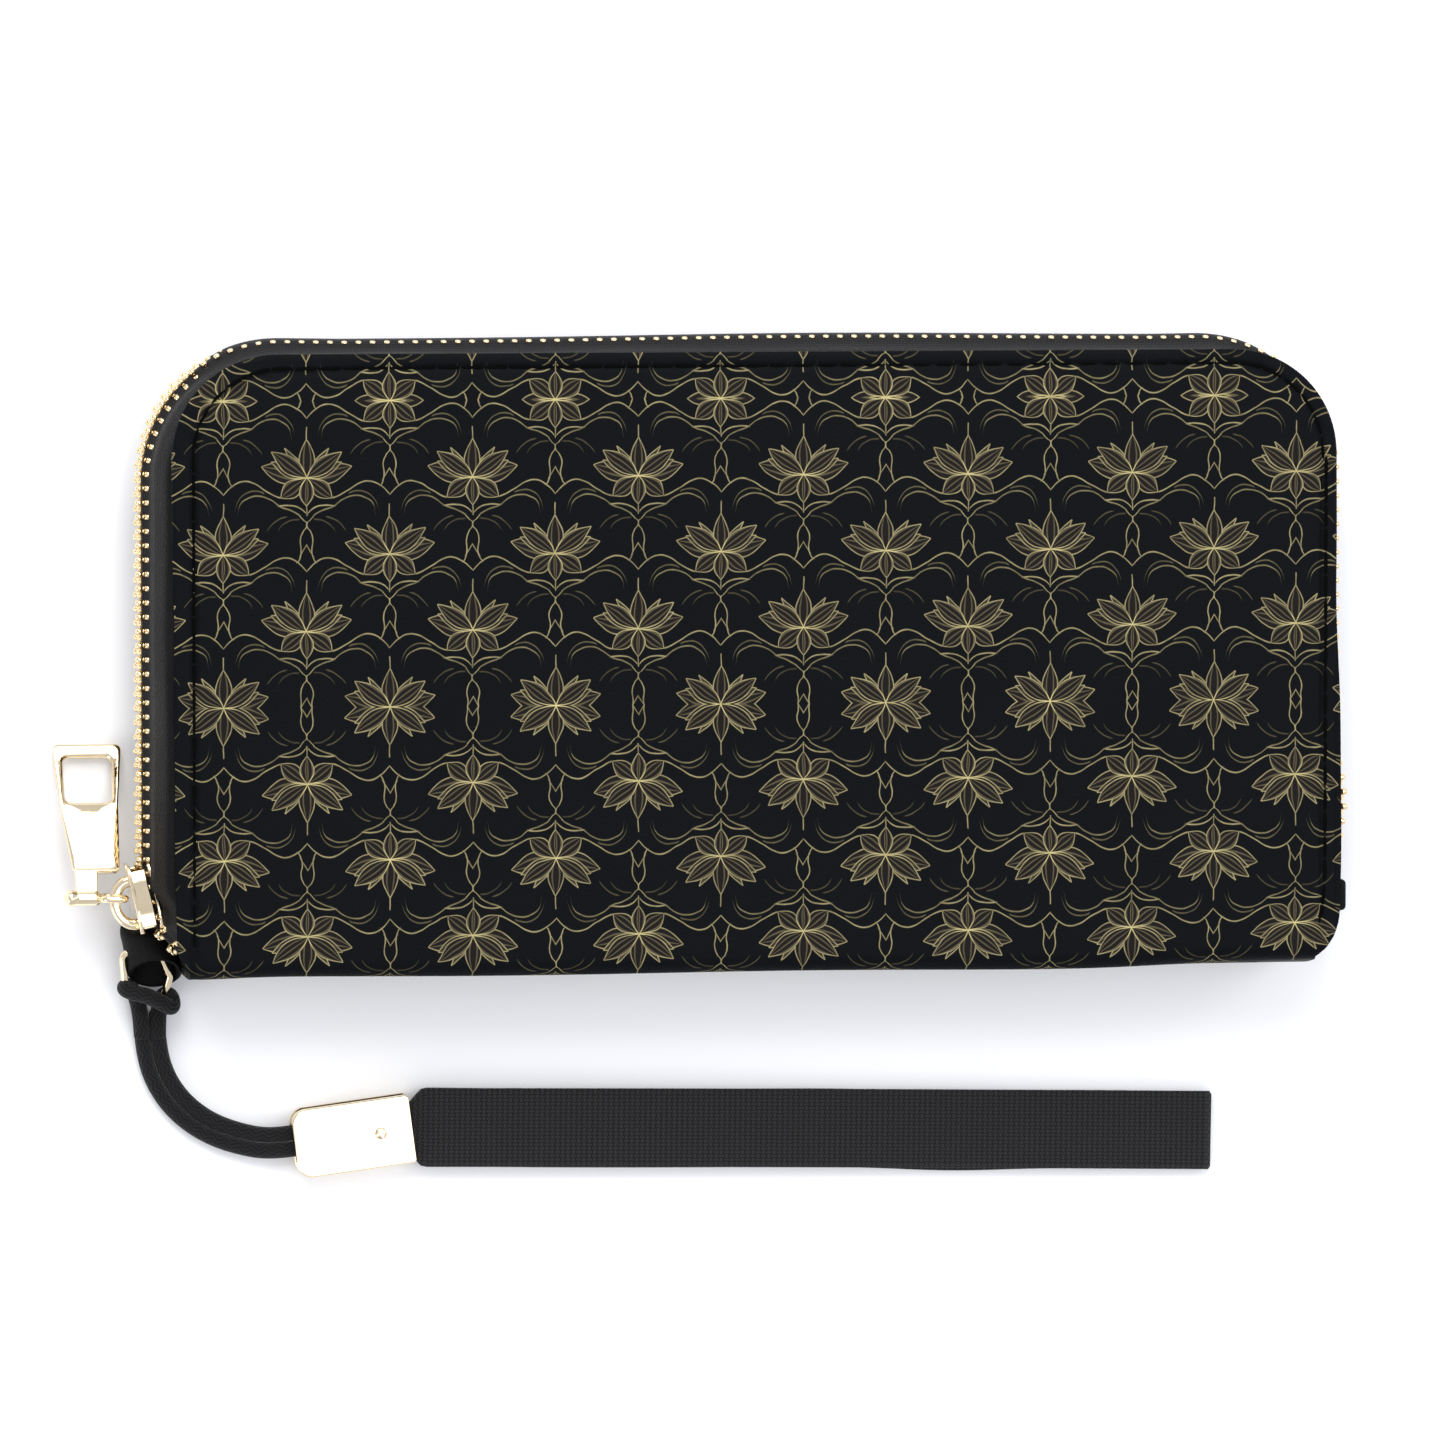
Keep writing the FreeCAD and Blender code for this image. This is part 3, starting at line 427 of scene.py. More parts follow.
def clothMaterial(name, colour, light, pitchU, pitchV, depth, rough=0.8, sheen=0.1):
    web, shader = newMaterial(name, Sheen_Weight=sheen, Specular_IOR_Level=0.12)
    u, v, flat = flatUv(web)
    weave = web.group("weave", {"U": u, "V": v, "Pitch U": pitchU, "Pitch V": pitchV})
    fuzz = web.noise(flat, 5200.0, 3.0)
    # painted shade: the thread crowns take the lighter colour and the hollows between threads the darker one
    tone = web.mix(web.ramp(weave["Height"], 0.25, 1.0), colour, light)
    tone = web.mix(web.ramp(fuzz, 0.35, 0.75, 0.0, 0.4), tone, tuple(c * 1.6 for c in light))
    web.put(shader["Base Color"], tone)
    web.put(shader["Roughness"], web.ramp(fuzz, 0.2, 0.8, rough - 0.08, rough + 0.08))
    bumpTo(web, shader, weave["Height"] + fuzz * 0.35, depth, 0.9)


def braidMaterial():
    # a round braid: two families of strands that cross as they run round the cord
    web, shader = newMaterial("braidedCord", Sheen_Weight=0.08, Specular_IOR_Level=0.14)
    u, v, flat = flatUv(web)
    first = u * 2800.0 + v * 4800.0
    second = u * 2800.0 - v * 4800.0
    over = web.ramp(((first + second) * 0.5).sine(), -0.2, 0.2)
    ribs = abs(first.sine()) * over + abs(second.sine()) * (1.0 - over)
    fuzz = web.noise(flat, 4200.0, 3.0)
    # painted shade: the strands' crowns take the lighter colour and the hollows between strands the darker
    # one
    web.put(shader["Base Color"], web.mix(web.ramp(ribs, 0.2, 1.0), (0.003, 0.003, 0.0033),
                                          (0.011, 0.011, 0.012)))
    web.put(shader["Roughness"], web.ramp(fuzz, 0.2, 0.8, 0.6, 0.85))
    bumpTo(web, shader, ribs + fuzz * 0.25, 0.00016, 0.9)


def metalMaterial(name, colour, rough, dull):
    web, shader = newMaterial(name, Metallic=1.0)
    where = objectPlace(web)
    handling = web.group("handling", {"Vector": where})
    darker = tuple(c * 0.93 for c in colour)
    web.put(shader["Base Color"], web.mix(web.ramp(web.noise(where, 90.0), 0.3, 0.7), colour, darker))
    web.put(shader["Roughness"], web.ramp(handling["Dulled"], 0.0, 1.0, rough, dull))
    bumpTo(web, shader, web.noise(where, 240.0, 2.0), 0.00004, 0.35)


def threadMaterial():
    web, shader = newMaterial("thread", Specular_IOR_Level=0.04)
    twist = web.noise(objectPlace(web), 5200.0, 2.0)
    web.put(shader["Base Color"], web.mix(twist, (0.0006, 0.0006, 0.0006), (0.0016, 0.0016, 0.0018)))
    web.put(shader["Roughness"], web.ramp(twist, 0.2, 0.8, 0.7, 0.9))
    bumpTo(web, shader, twist, 0.00006, 0.8)


def boardMaterial():
    web, shader = newMaterial("greyBoard", Roughness=0.9)
    fibres = web.noise(objectPlace(web), 1400.0, 5.0)
    web.put(shader["Base Color"], web.mix(fibres, (0.2, 0.17, 0.13), (0.36, 0.31, 0.25)))
    bumpTo(web, shader, fibres, 0.00008, 0.6)


def floorMaterial():
    web, shader = newMaterial("paleTable", Roughness=0.7, Specular_IOR_Level=0.2)
    slow = web.noise(objectPlace(web), 3.0, 2.0)
    web.put(shader["Base Color"], web.mix(slow, (0.93, 0.935, 0.95), (0.95, 0.95, 0.965)))


printedCoverMaterial()
leatherMaterial("blackLeather", (0.0042, 0.0042, 0.0046), 1500.0, 0.5, 0.00006)
# black paint on the cover's cut edges; the screw's cross and the crack round its head take it too, as
# painted shade
leatherMaterial("edgePaint", (0.003, 0.003, 0.0035), 2400.0, 0.42, 0.00002)
leatherMaterial("cardLeather", (0.010, 0.010, 0.011), 1300.0, 0.5, 0.00005, uv=True)
clothMaterial("zipTape", (0.0035, 0.0036, 0.004), (0.011, 0.011, 0.012), 0.00052, 0.00052, 0.00007)
clothMaterial("webbing", (0.003, 0.003, 0.0033), (0.020, 0.020, 0.021), 0.00086, 0.0006, 0.0003)
clothMaterial("lining", (0.006, 0.006, 0.0065), (0.016, 0.016, 0.018), 0.00032, 0.00032, 0.00003, 0.6, 0.15)
braidMaterial()
metalMaterial("lightGold", (0.93, 0.78, 0.54), 0.07, 0.2)
metalMaterial("zipGold", (0.90, 0.72, 0.44), 0.16, 0.32)
metalMaterial("screwGold", (0.72, 0.6, 0.4), 0.2, 0.36)
threadMaterial()
boardMaterial()
floorMaterial()
print("materials made")


def quadFaces(rows, columns, wrapRows=False, wrapColumns=False):
    # the faces of a grid of points, as an array of four corner numbers each
    i = np.arange(rows if wrapRows else rows - 1)
    j = np.arange(columns if wrapColumns else columns - 1)
    i, j = np.meshgrid(i, j, indexing="ij")
    i2, j2 = (i + 1) % rows, (j + 1) % columns
    return np.stack([i * columns + j, i2 * columns + j, i2 * columns + j2, i * columns + j2],
                    -1).reshape(-1, 4)


def meshPiece(name, points, faces, material, uv=None, smooth=True, extra=()):
    # a mesh from arrays: points n by 3 in metres, faces n by 4, uv one pair for each point
    mesh = bpy.data.meshes.new(name)
    points, faces = np.asarray(points, np.float32), np.asarray(faces, np.int32)
    mesh.vertices.add(len(points))
    mesh.vertices.foreach_set("co", points.ravel())
    mesh.loops.add(faces.size)
    mesh.loops.foreach_set("vertex_index", faces.ravel())
    mesh.polygons.add(len(faces))
    mesh.polygons.foreach_set("loop_start", np.arange(0, faces.size, faces.shape[1], dtype=np.int32))
    mesh.polygons.foreach_set("use_smooth", np.full(len(faces), smooth))
    mesh.update(calc_edges=True)
    if uv is not None:
        layer = mesh.uv_layers.new(name="flat")
        layer.data.foreach_set("uv", np.asarray(uv, np.float32)[faces.ravel()].ravel())
    mesh.validate()
    piece = bpy.data.objects.new(name, mesh)
    bpy.context.collection.objects.link(piece)
    for finish in (material, *extra):
        mesh.materials.append(materials[finish])
    return piece


def gridPiece(name, points, material, uv=None, closeRows=False, closeColumns=False, smooth=True,
              flip=False, extra=()):
    # a piece from a grid of points, rows by columns by 3
    rows, columns = points.shape[:2]
    faces = quadFaces(rows, columns, closeRows, closeColumns)
    if flip:
        faces = faces[:, ::-1]
    flatUvs = None if uv is None else uv.reshape(-1, 2)
    return meshPiece(name, points.reshape(-1, 3), faces, material, flatUvs, smooth, extra)


def modifier(piece, kind, **settings):
    added = piece.modifiers.new(kind.lower(), kind)
    for key, value in settings.items():
        setattr(added, key, value)
    return added


def thicken(piece, thickness, offset=-1.0, rim=0, back=0):
    # rim and back: how many slots on the finish of the cut edge and of the far face lie
    return modifier(piece, "SOLIDIFY", thickness=thickness, offset=offset, material_offset_rim=rim,
                    material_offset=back, use_even_offset=True)


def soften(piece, width, segments=3):
    modifier(piece, "BEVEL", width=width, segments=segments, limit_method="ANGLE", angle_limit=0.6,
             harden_normals=True)


def outward(piece):
    # turns every face of a closed mesh outwards
    work = bmesh.new()
    work.from_mesh(piece.data)
    bmesh.ops.recalc_face_normals(work, faces=work.faces)
    work.to_mesh(piece.data)
    work.free()
    return piece


def prismPiece(name, outline, low, high, material, bevel=0.0, segments=3, axis="z"):
    # a flat outline, n by 2, carried from low to high along one axis
    outline = np.asarray(outline, float)
    count = len(outline)
    rings = []
    for level in (low, high):
        third = np.full(count, level)
        a, b = outline[:, 0], outline[:, 1]
        rings.append(np.stack({"z": (a, b, third), "x": (third, a, b), "y": (a, third, b)}[axis], -1))
    points = np.vstack(rings)
    faces = [list(range(count))[::-1], list(range(count, 2 * count))]
    faces += [[k, (k + 1) % count, (k + 1) % count + count, k + count] for k in range(count)]
    mesh = bpy.data.meshes.new(name)
    mesh.from_pydata(points.tolist(), [], faces)
    mesh.polygons.foreach_set("use_smooth", np.full(len(faces), True))
    piece = bpy.data.objects.new(name, mesh)
    bpy.context.collection.objects.link(piece)
    mesh.materials.append(materials[material])
    outward(piece)
    if bevel:
        soften(piece, bevel, segments)
    return piece


def joined(name, pieces):
    # several meshes made one, each with its modifiers applied
    work = bmesh.new()
    slots = []
    for piece in pieces:
        bpy.context.view_layer.update()
        graph = bpy.context.evaluated_depsgraph_get()
        mesh = bpy.data.meshes.new_from_object(piece.evaluated_get(graph))
        for polygon in mesh.polygons:
            finish = mesh.materials[polygon.material_index]
            if finish not in slots:
                slots.append(finish)
            polygon.material_index = slots.index(finish)
        work.from_mesh(mesh)
        bpy.data.meshes.remove(mesh)
    whole = bpy.data.meshes.new(name)
    work.to_mesh(whole)
    work.free()
    for finish in slots:
        whole.materials.append(finish)
    for piece in pieces:
        bpy.data.objects.remove(piece)
    result = bpy.data.objects.new(name, whole)
    bpy.context.collection.objects.link(result)
    return result


def roundedBox(name, x0, x1, y0, y1, z0, z1, material, bevel, segments=3):
    return prismPiece(name, [(x0, y0), (x1, y0), (x1, y1), (x0, y1)], z0, z1, material, bevel, segments)


def frames(path, closed=False):
    # the tangent and two sideways directions at each point of a path, turned as little as possible
    path = np.asarray(path, float)
    if closed:
        tangent = np.roll(path, -1, 0) - np.roll(path, 1, 0)
    else:
        tangent = np.gradient(path, axis=0)
    tangent /= np.linalg.norm(tangent, axis=1)[:, None]
    start = np.array([0.0, 0, 1]) if abs(tangent[0][2]) < 0.9 else np.array([1.0, 0, 0])
    side = np.zeros_like(path)
    side[0] = np.cross(tangent[0], start)
    side[0] /= np.linalg.norm(side[0])
    for k in range(1, len(path)):
        side[k] = side[k - 1] - tangent[k] * np.dot(side[k - 1], tangent[k])
        side[k] /= np.linalg.norm(side[k])
    return tangent, side, np.cross(side, tangent)


def sweptPiece(name, path, section, material, closed=False, scale=None, caps=True):
    # a closed section, n by 2, carried along a path; scale changes its size from point to point
    path, section = np.asarray(path, float), np.asarray(section, float)
    tangent, side, up = frames(path, closed)
    size = np.ones(len(path)) if scale is None else np.asarray(scale)
    points = (path[:, None] + size[:, None, None] * (section[None, :, :1] * side[:, None]
                                                     + section[None, :, 1:] * up[:, None]))
    steps = np.concatenate([[0], np.cumsum(np.linalg.norm(np.diff(path, axis=0), axis=1))])
    around = np.concatenate([[0], np.cumsum(np.linalg.norm(np.diff(section, axis=0), axis=1))])
    uv = np.stack(np.meshgrid(steps, around, indexing="ij"), -1)
    if caps and not closed:
        # the ends close in three rings to a point, so that no hole is left
        for end, direction in ((0, -1.0), (-1, 1.0)):
            ring, centre = points[end], path[end]
            radius = np.linalg.norm(section, axis=1).mean() * size[end]
            rings = [centre + (ring - centre) * math.cos(a) + tangent[end] * direction * radius * 0.5
                     * math.sin(a)
                     for a in (0.6, 1.15, 1.5705)]
            edge = np.repeat(uv[end][None], 3, 0)
            stack = np.array(rings)
            points = np.concatenate([stack[::-1], points]) if end == 0 else np.concatenate([points, stack])
            uv = np.concatenate([edge, uv]) if end == 0 else np.concatenate([uv, edge])
    piece = gridPiece(name, points, material, uv, closeRows=closed, closeColumns=True)
    return outward(piece)


def circle(radius, count=20):
    turn = np.linspace(0, 2 * math.pi, count, endpoint=False)
    return np.stack([np.cos(turn), np.sin(turn)], -1) * radius


def roundedPath(corners, radius, closed=True, steps=7):
    # straight runs between corners, each corner a round arc
    corners = [np.asarray(c, float) for c in corners]
    count, path = len(corners), []
    for k in range(count):
        here = corners[k]
        if not closed and k in (0, count - 1):
            path.append(here)
            continue
        into = corners[k - 1] - here
        out = corners[(k + 1) % count] - here
        into, out = into / np.linalg.norm(into), out / np.linalg.norm(out)
        half = math.acos(np.clip(np.dot(into, out), -1, 1)) / 2
        reach = radius / math.tan(half)
        middle = (into + out) / np.linalg.norm(into + out)
        centre = here + middle * radius / math.sin(half)
        first, last = here + into * reach - centre, here + out * reach - centre
        sweep = math.pi - 2 * half
        for a in np.linspace(0, 1, steps):
            path.append(centre + (first * math.sin((1 - a) * sweep) + last * math.sin(a * sweep))
                        / math.sin(sweep))
    return np.array(path)


def smoothLine(points, count=80):
    # points along the smooth spline that has the given points as its control points
    data = bpy.data.curves.new("route", "CURVE")
    data.dimensions = "3D"
    spline = data.splines.new("NURBS")
    spline.points.add(len(points) - 1)
    for point, place in zip(spline.points, points):
        point.co = (*place, 1.0)
    spline.use_endpoint_u = True
    spline.order_u = 3
    spline.resolution_u = 16
    holder = bpy.data.objects.new("route", data)
    bpy.context.collection.objects.link(holder)
    bpy.context.view_layer.update()
    mesh = bpy.data.meshes.new_from_object(holder)
    line = np.zeros(len(mesh.vertices) * 3)
    mesh.vertices.foreach_get("co", line)
    line = line.reshape(-1, 3)
    bpy.data.objects.remove(holder)
    bpy.data.meshes.remove(mesh)
    run = np.concatenate([[0], np.cumsum(np.linalg.norm(np.diff(line, axis=0), axis=1))])
    even = np.linspace(0, run[-1], count)
    return np.stack([np.interp(even, run, line[:, k]) for k in range(3)], -1)


def settle(piece, body, slot, *nodes):
    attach(piece, body)
    if nodes:
        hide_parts(*nodes)
    return piece


cover = {
    "length": 188.0,
    "top": 49.0,
    "corner": 17.0,
    "leftIn": 0.6,  # the left edge stands this much further in
    "chamfer": (9.0, 3.9),  # how far the lower right corner is cut back, up the side and along the fold
    "fold": 2.8,  # radius of the bend into the spine
    "height": 25.0,
    "thick": 0.8,
    "seamInset": 2.25,
    "seamInsetLeft": 3.5,
    "foldY": -47.6,
}
cover["spineRun"] = cover["fold"] * math.pi / 2 + cover["height"] / 2 - cover["fold"]


def coverSides(y):
    # the left and right limits of the cover at height y: straight, rounded at the top, cut back low on
    # the right
    half, r = cover["length"] / 2, cover["corner"]
    up = np.clip(y - (cover["top"] - r), 0, r)
    arc = r - np.sqrt(np.maximum(r * r - up * up, 0))
    tall, wide = cover["chamfer"]
    low = np.clip((cover["foldY"] + tall - 2.4 - y) / tall, 0, 1)
    belly = 1 / (1 + np.exp(y / 8.0))  # both edges lean to the right in the lower half
    lowLeft = np.clip((cover["foldY"] + 3.0 - y) / 5.0, 0, 1)
    wave = 0.22 * np.sin(y / 9.0 + 0.7) + 0.12 * np.sin(y / 4.1)
    left = -half + cover["leftIn"] + arc + 0.5 * belly + 2.2 * lowLeft**2 + wave * 0.5
    right = half - arc + 0.9 * belly - wide * low**2.6 - wave * 0.5
    return left, right


def seamGap(x, y):
    # distance inwards from the three zipped sides, mm
    half, r, top = cover["length"] / 2, cover["corner"], cover["top"]
    half = np.where(x < 0, half - cover["leftIn"], half)
    ax, ay = np.abs(x) - (half - r), y - (top - r)
    inCorner = (ax > 0) & (ay > 0)
    straight = np.minimum(half - np.abs(x), top - y)
    return np.where(inCorner, r - np.hypot(ax, ay), straight)


def coverHeight(x, y):
    # the front cover's surface over its plane: a rounded edge, a seam sunk in a groove and a soft puff
    # inside it
    gap = seamGap(x, y)
    edge = np.clip(1 - gap / 0.9, 0, 1)
    rounding = 0.55 * (1 - np.sqrt(np.maximum(1 - edge * edge, 0)))
    share = np.clip((-x - 60) / 30, 0, 1)
    inset = cover["seamInset"] + (cover["seamInsetLeft"] - cover["seamInset"]) * share
    groove = (0.42 + 0.16 * share) * np.exp(-(((gap - inset) / (0.42 + 0.12 * share)) ** 2))
    pucker = 0.07 * np.sin((x + y) * 2 * math.pi / 3.9) * np.exp(-(((gap - inset) / 1.5) ** 2))
    puff = 0.4 * (1 - np.exp(-np.maximum(gap - inset, 0) / 5.0))
    slow = 0.16 * np.sin(x / 27.0 + 0.6) * np.cos(y / 19.0) + 0.07 * np.sin(x / 9.0 + y / 13.0)
    return cover["height"] - 0.35 - rounding - groove + pucker + puff + slow * np.clip(gap / 8, 0, 1)


def foldWander(x):
    # the fold's line is not straight: low at the left end, high at the right
    left = -0.45 * np.exp(-(((x + 90) / 9.0) ** 2))
    right = 0.95 / (1 + np.exp(-(x - 64) / 6.0))
    return left + right + 0.15 * np.sin(x / 15.0 + 1.0)


def coverSheet(name, back):
    # rows run from the top edge down the cover, round the fold and to the middle of the spine
    r, foldY = cover["corner"], cover["foldY"]
    turn = np.linspace(0, math.pi / 2, 44)
    yFlat = np.concatenate([cover["top"] - r * (1 - np.cos(turn)),
                            np.linspace(cover["top"] - r, foldY, 66)[1:]])
    bend = np.linspace(0, math.pi / 2, 10)[1:]
    down = np.linspace(cover["height"] - cover["fold"], cover["height"] / 2, 9)[1:]
    run = np.concatenate([yFlat, foldY - cover["fold"] * bend, foldY - cover["fold"] * math.pi / 2
                          - (cover["height"] - cover["fold"] - down)])
    close = np.linspace(0, 1, 27) ** 1.2 * 7.0
    middle = np.linspace(7.0, cover["length"] - 7.0, 122)[1:-1]
    across = np.concatenate([close, middle, cover["length"] - close[::-1]]) / cover["length"]
    flatY = np.maximum(run, foldY)
    left, right = coverSides(np.maximum(run, foldY - 2.5))
    x = left[:, None] + (right - left)[:, None] * across[None, :]
    y = np.repeat(flatY[:, None], x.shape[1], 1)
    z = coverHeight(x, y)
    past = foldY - run[:, None]  # how far round the fold a row lies
    angle = np.clip(past / cover["fold"], 0, math.pi / 2)
    fallen = np.maximum(past - cover["fold"] * math.pi / 2, 0)
    y = np.where(past > 0, foldY - cover["fold"] * np.sin(angle)
                 - 0.35 * np.sin(np.clip(fallen / 9.7, 0, 1) * math.pi / 2), y)
    level = z - cover["fold"] * (1 - np.cos(angle)) - fallen
    bottom = (level - cover["height"] / 2)[-1:]
    level = level - bottom * np.clip(past / cover["spineRun"], 0, 1)
    reach = np.clip((-30 - flatY[:, None]) / 18, 0, 1) ** 2
    y = y + foldWander(x) * reach * np.clip(1 - fallen / 12, 0, 1)
    v = run[:, None] + 0 * x
    if back:
        # the same sheet carries on round the spine, and lies flat on the table
        level = cover["height"] - level
        v = 2 * (foldY - cover["spineRun"]) - v
        level = np.maximum(level - 0.3 * np.clip(1 - past / cover["spineRun"], 0, 1), 0.02)
    points = np.stack([x, y, level], -1) * mm
    uv = np.stack([x, v], -1) * mm
    piece = gridPiece(name, points, "printedCover", uv, flip=back, extra=("edgePaint", "lining"))
    return piece


def facing(piece, direction):
    # turns the whole mesh over if it does not face the given way
    mesh = piece.data
    normals = np.zeros(len(mesh.polygons) * 3)
    mesh.polygons.foreach_get("normal", normals)
    if normals.reshape(-1, 3).mean(0) @ np.array(direction) < 0:
        mesh.flip_normals()


frontSheet = coverSheet("frontCoverSheet", False)
facing(frontSheet, (0, 0, 1))
thicken(frontSheet, cover["thick"] * mm, -1.0, 1, 2)
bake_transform(frontSheet)
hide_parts("front_cover", "spine_cover")
backSheet = coverSheet("backCoverSheet", True)
facing(backSheet, (0, 0, -1))
thicken(backSheet, cover["thick"] * mm, -1.0, 1, 2)
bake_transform(backSheet)
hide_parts("back_cover")
print("covers made")


def beadShape(power, cuts=3):
    # a cube whose corners are drawn in, so that it is nearly a ball: a few dozen faces
    step = np.linspace(-1, 1, cuts + 1)
    points, faces, seen = [], [], {}

    def number(p):
        key = tuple(np.round(p, 6))
        if key not in seen:
            seen[key] = len(points)
            points.append(p)
        return seen[key]

    for axis in range(3):
        for sign in (-1.0, 1.0):
            for i in range(cuts):
                for j in range(cuts):
                    square = []
                    for a, b in ((i, j), (i + 1, j), (i + 1, j + 1), (i, j + 1)):
                        p = np.zeros(3)
                        p[axis], p[(axis + 1) % 3], p[(axis + 2) % 3] = sign, step[a], step[b]
                        square.append(number(p))
                    faces.append(square if sign > 0 else square[::-1])
    points = np.array(points)
    size = (np.abs(points) ** power).sum(1) ** (1 / power)
    return points / size[:, None], np.array(faces)


def scattered(name, shape, places, axes, sizes, material):
    # one mesh from many copies of a shape: places n by 3, axes n by 3 by 3, sizes n by 3 half sizes
    points, faces = shape
    moved = points[None] * np.asarray(sizes)[:, None, :]
    moved = np.einsum("nkj,nji->nki", moved, np.asarray(axes)) + np.asarray(places)[:, None, :]
    count = len(points)
    numbers = (faces[None] + (np.arange(len(places)) * count)[:, None, None]).reshape(-1, 4)
    return meshPiece(name, moved.reshape(-1, 3) * mm, numbers, material)


seam = {"stitch": 3.5, "gap": 0.3, "thread": 0.4}


def seamLine(count=2400):
    # the seam's line up the left side, over the top and down the right side, with its directions
    half, r, top = cover["length"] / 2, cover["corner"], cover["top"]
    low = cover["foldY"] + 1.0
    insetL, insetR = cover["seamInsetLeft"], cover["seamInset"]
    leftHalf = half - cover["leftIn"]
    left = [(-leftHalf + insetL, y) for y in np.linspace(low, top - r, 60)]
    turn = np.linspace(math.pi, math.pi / 2, 60)
    inset = np.linspace(insetL, insetR, 60)
    leftArc = [(-leftHalf + r + (r - i) * math.cos(t), top - r + (r - i) * math.sin(t)) for t,
               i in zip(turn, inset)]
    rightArc = [(half - r - (r - insetR) * math.cos(t), top - r + (r - insetR) * math.sin(t))
                for t in turn[::-1]]
    right = [(half - insetR + 0.5 - 2.6 * max(0, (-36 - y) / 11) ** 2, y)
             for y in np.linspace(top - r, low, 60)]
    line = np.array(left + leftArc + rightArc + right)
    run = np.concatenate([[0], np.cumsum(np.hypot(*np.diff(line, axis=0).T))])
    even = np.linspace(0, run[-1], count)
    return np.stack([np.interp(even, run, line[:, 0]), np.interp(even, run, line[:, 1])], -1), run[-1]


def seamThread(name, back):
    line, total = seamLine()
    at = np.arange(seam["stitch"] / 2 + 1, total - 2, seam["stitch"] + seam["gap"])
    index = (at / total * (len(line) - 1)).astype(int)
    spot, ahead = line[index], line[np.minimum(index + 3, len(line) - 1)] - line[index - 3]
    ahead = ahead / np.linalg.norm(ahead, axis=1)[:, None]
    level = coverHeight(spot[:, 0], spot[:, 1]) + 0.02
    if back:
        level = np.full(len(spot), seam["thread"] / 2 + 0.03)
    zero, one = np.zeros(len(spot)), np.ones(len(spot))
    axes = np.stack([np.stack([ahead[:, 0], ahead[:, 1], zero], -1),
                     np.stack([-ahead[:, 1], ahead[:, 0], zero], -1), np.stack([zero, zero, one], -1)], 1)
    halves = np.tile([seam["stitch"] / 2 + 0.05, seam["thread"] / 2 + 0.09, seam["thread"] / 2],
                     (len(spot), 1))
    places = np.column_stack([spot, level])
    piece = scattered(name, beadShape(3.0), places, axes, halves, "thread")
    return settle(piece, "back_half" if back else "front_half", "thread", "seam_thread_back" if back
                  else "seam_thread_front")


seamThread("frontSeamThread", False)
seamThread("backSeamThread", True)
print("seams made")

zipper = {
    "left": -97.0,
    "right": 94.8,
    "top": 50.2,
    "corner": 22.0,
    "start": -43.2,
    "end": -40.0,
    "pitch": 2.28,
    "middle": 12.5,
}


def zipPath(s, fade=0.0):
    # the chain's centre and outward direction at distances s: left side, corner, top, corner, right side;
    # fade takes away its outward bulge
    c, top, left, right = zipper["corner"], zipper["top"], zipper["left"], zipper["right"]
    runs = [top - c - zipper["start"], c * math.pi / 2, right - left - 2 * c, c * math.pi / 2,
            top - c - zipper["end"]]
    ends = np.concatenate([[0], np.cumsum(runs)])
    s = np.asarray(s, float)
    t1 = math.pi - np.clip((s - ends[1]) / c, 0, math.pi / 2)
    t2 = math.pi / 2 - np.clip((s - ends[3]) / c, 0, math.pi / 2)
    outX = np.where(s < ends[2], np.cos(t1), np.cos(t2))
    outY = np.where(s < ends[2], np.sin(t1), np.sin(t2))
    x = np.where(s < ends[2], left + c + c * np.cos(t1), right - c + c * np.cos(t2))
    y = np.where(s < ends[2], top - c + c * np.sin(t1), top - c + c * np.sin(t2))
    x = x + np.where((s > ends[2]) & (s < ends[3]), s - ends[2] - (right - left - 2 * c), 0)
    y = y + np.minimum(s - ends[1], 0) - np.maximum(s - ends[4], 0)
    # it bulges a little along the top's middle and near its end, and curls in below the slider
    bulge = 1.5 * np.exp(-(((y + 24.5) / 6.5) ** 2)) * (x > 90) * (1 - fade)
    bulge = bulge + (0.55 * np.exp(-(((x - 12) / 38.0) ** 2))
                     - 0.35) * (y > 45) * np.clip((85 - np.abs(x)) / 20, 0, 1) * (1 - fade)
    inwards = np.clip((-36 - y) / 4, 0, 1)
    inwards = 1.7 * inwards * inwards * (3 - 2 * inwards) + 3.6 * np.clip((-42 - y) / 4.5, 0, 2) ** 1.2
    bulge = bulge - inwards * (x < -90)
    return np.stack([x + outX * bulge, y + outY * bulge], -1), np.stack([outX, outY], -1), ends[-1]


zipLength = zipPath(0.0)[2]


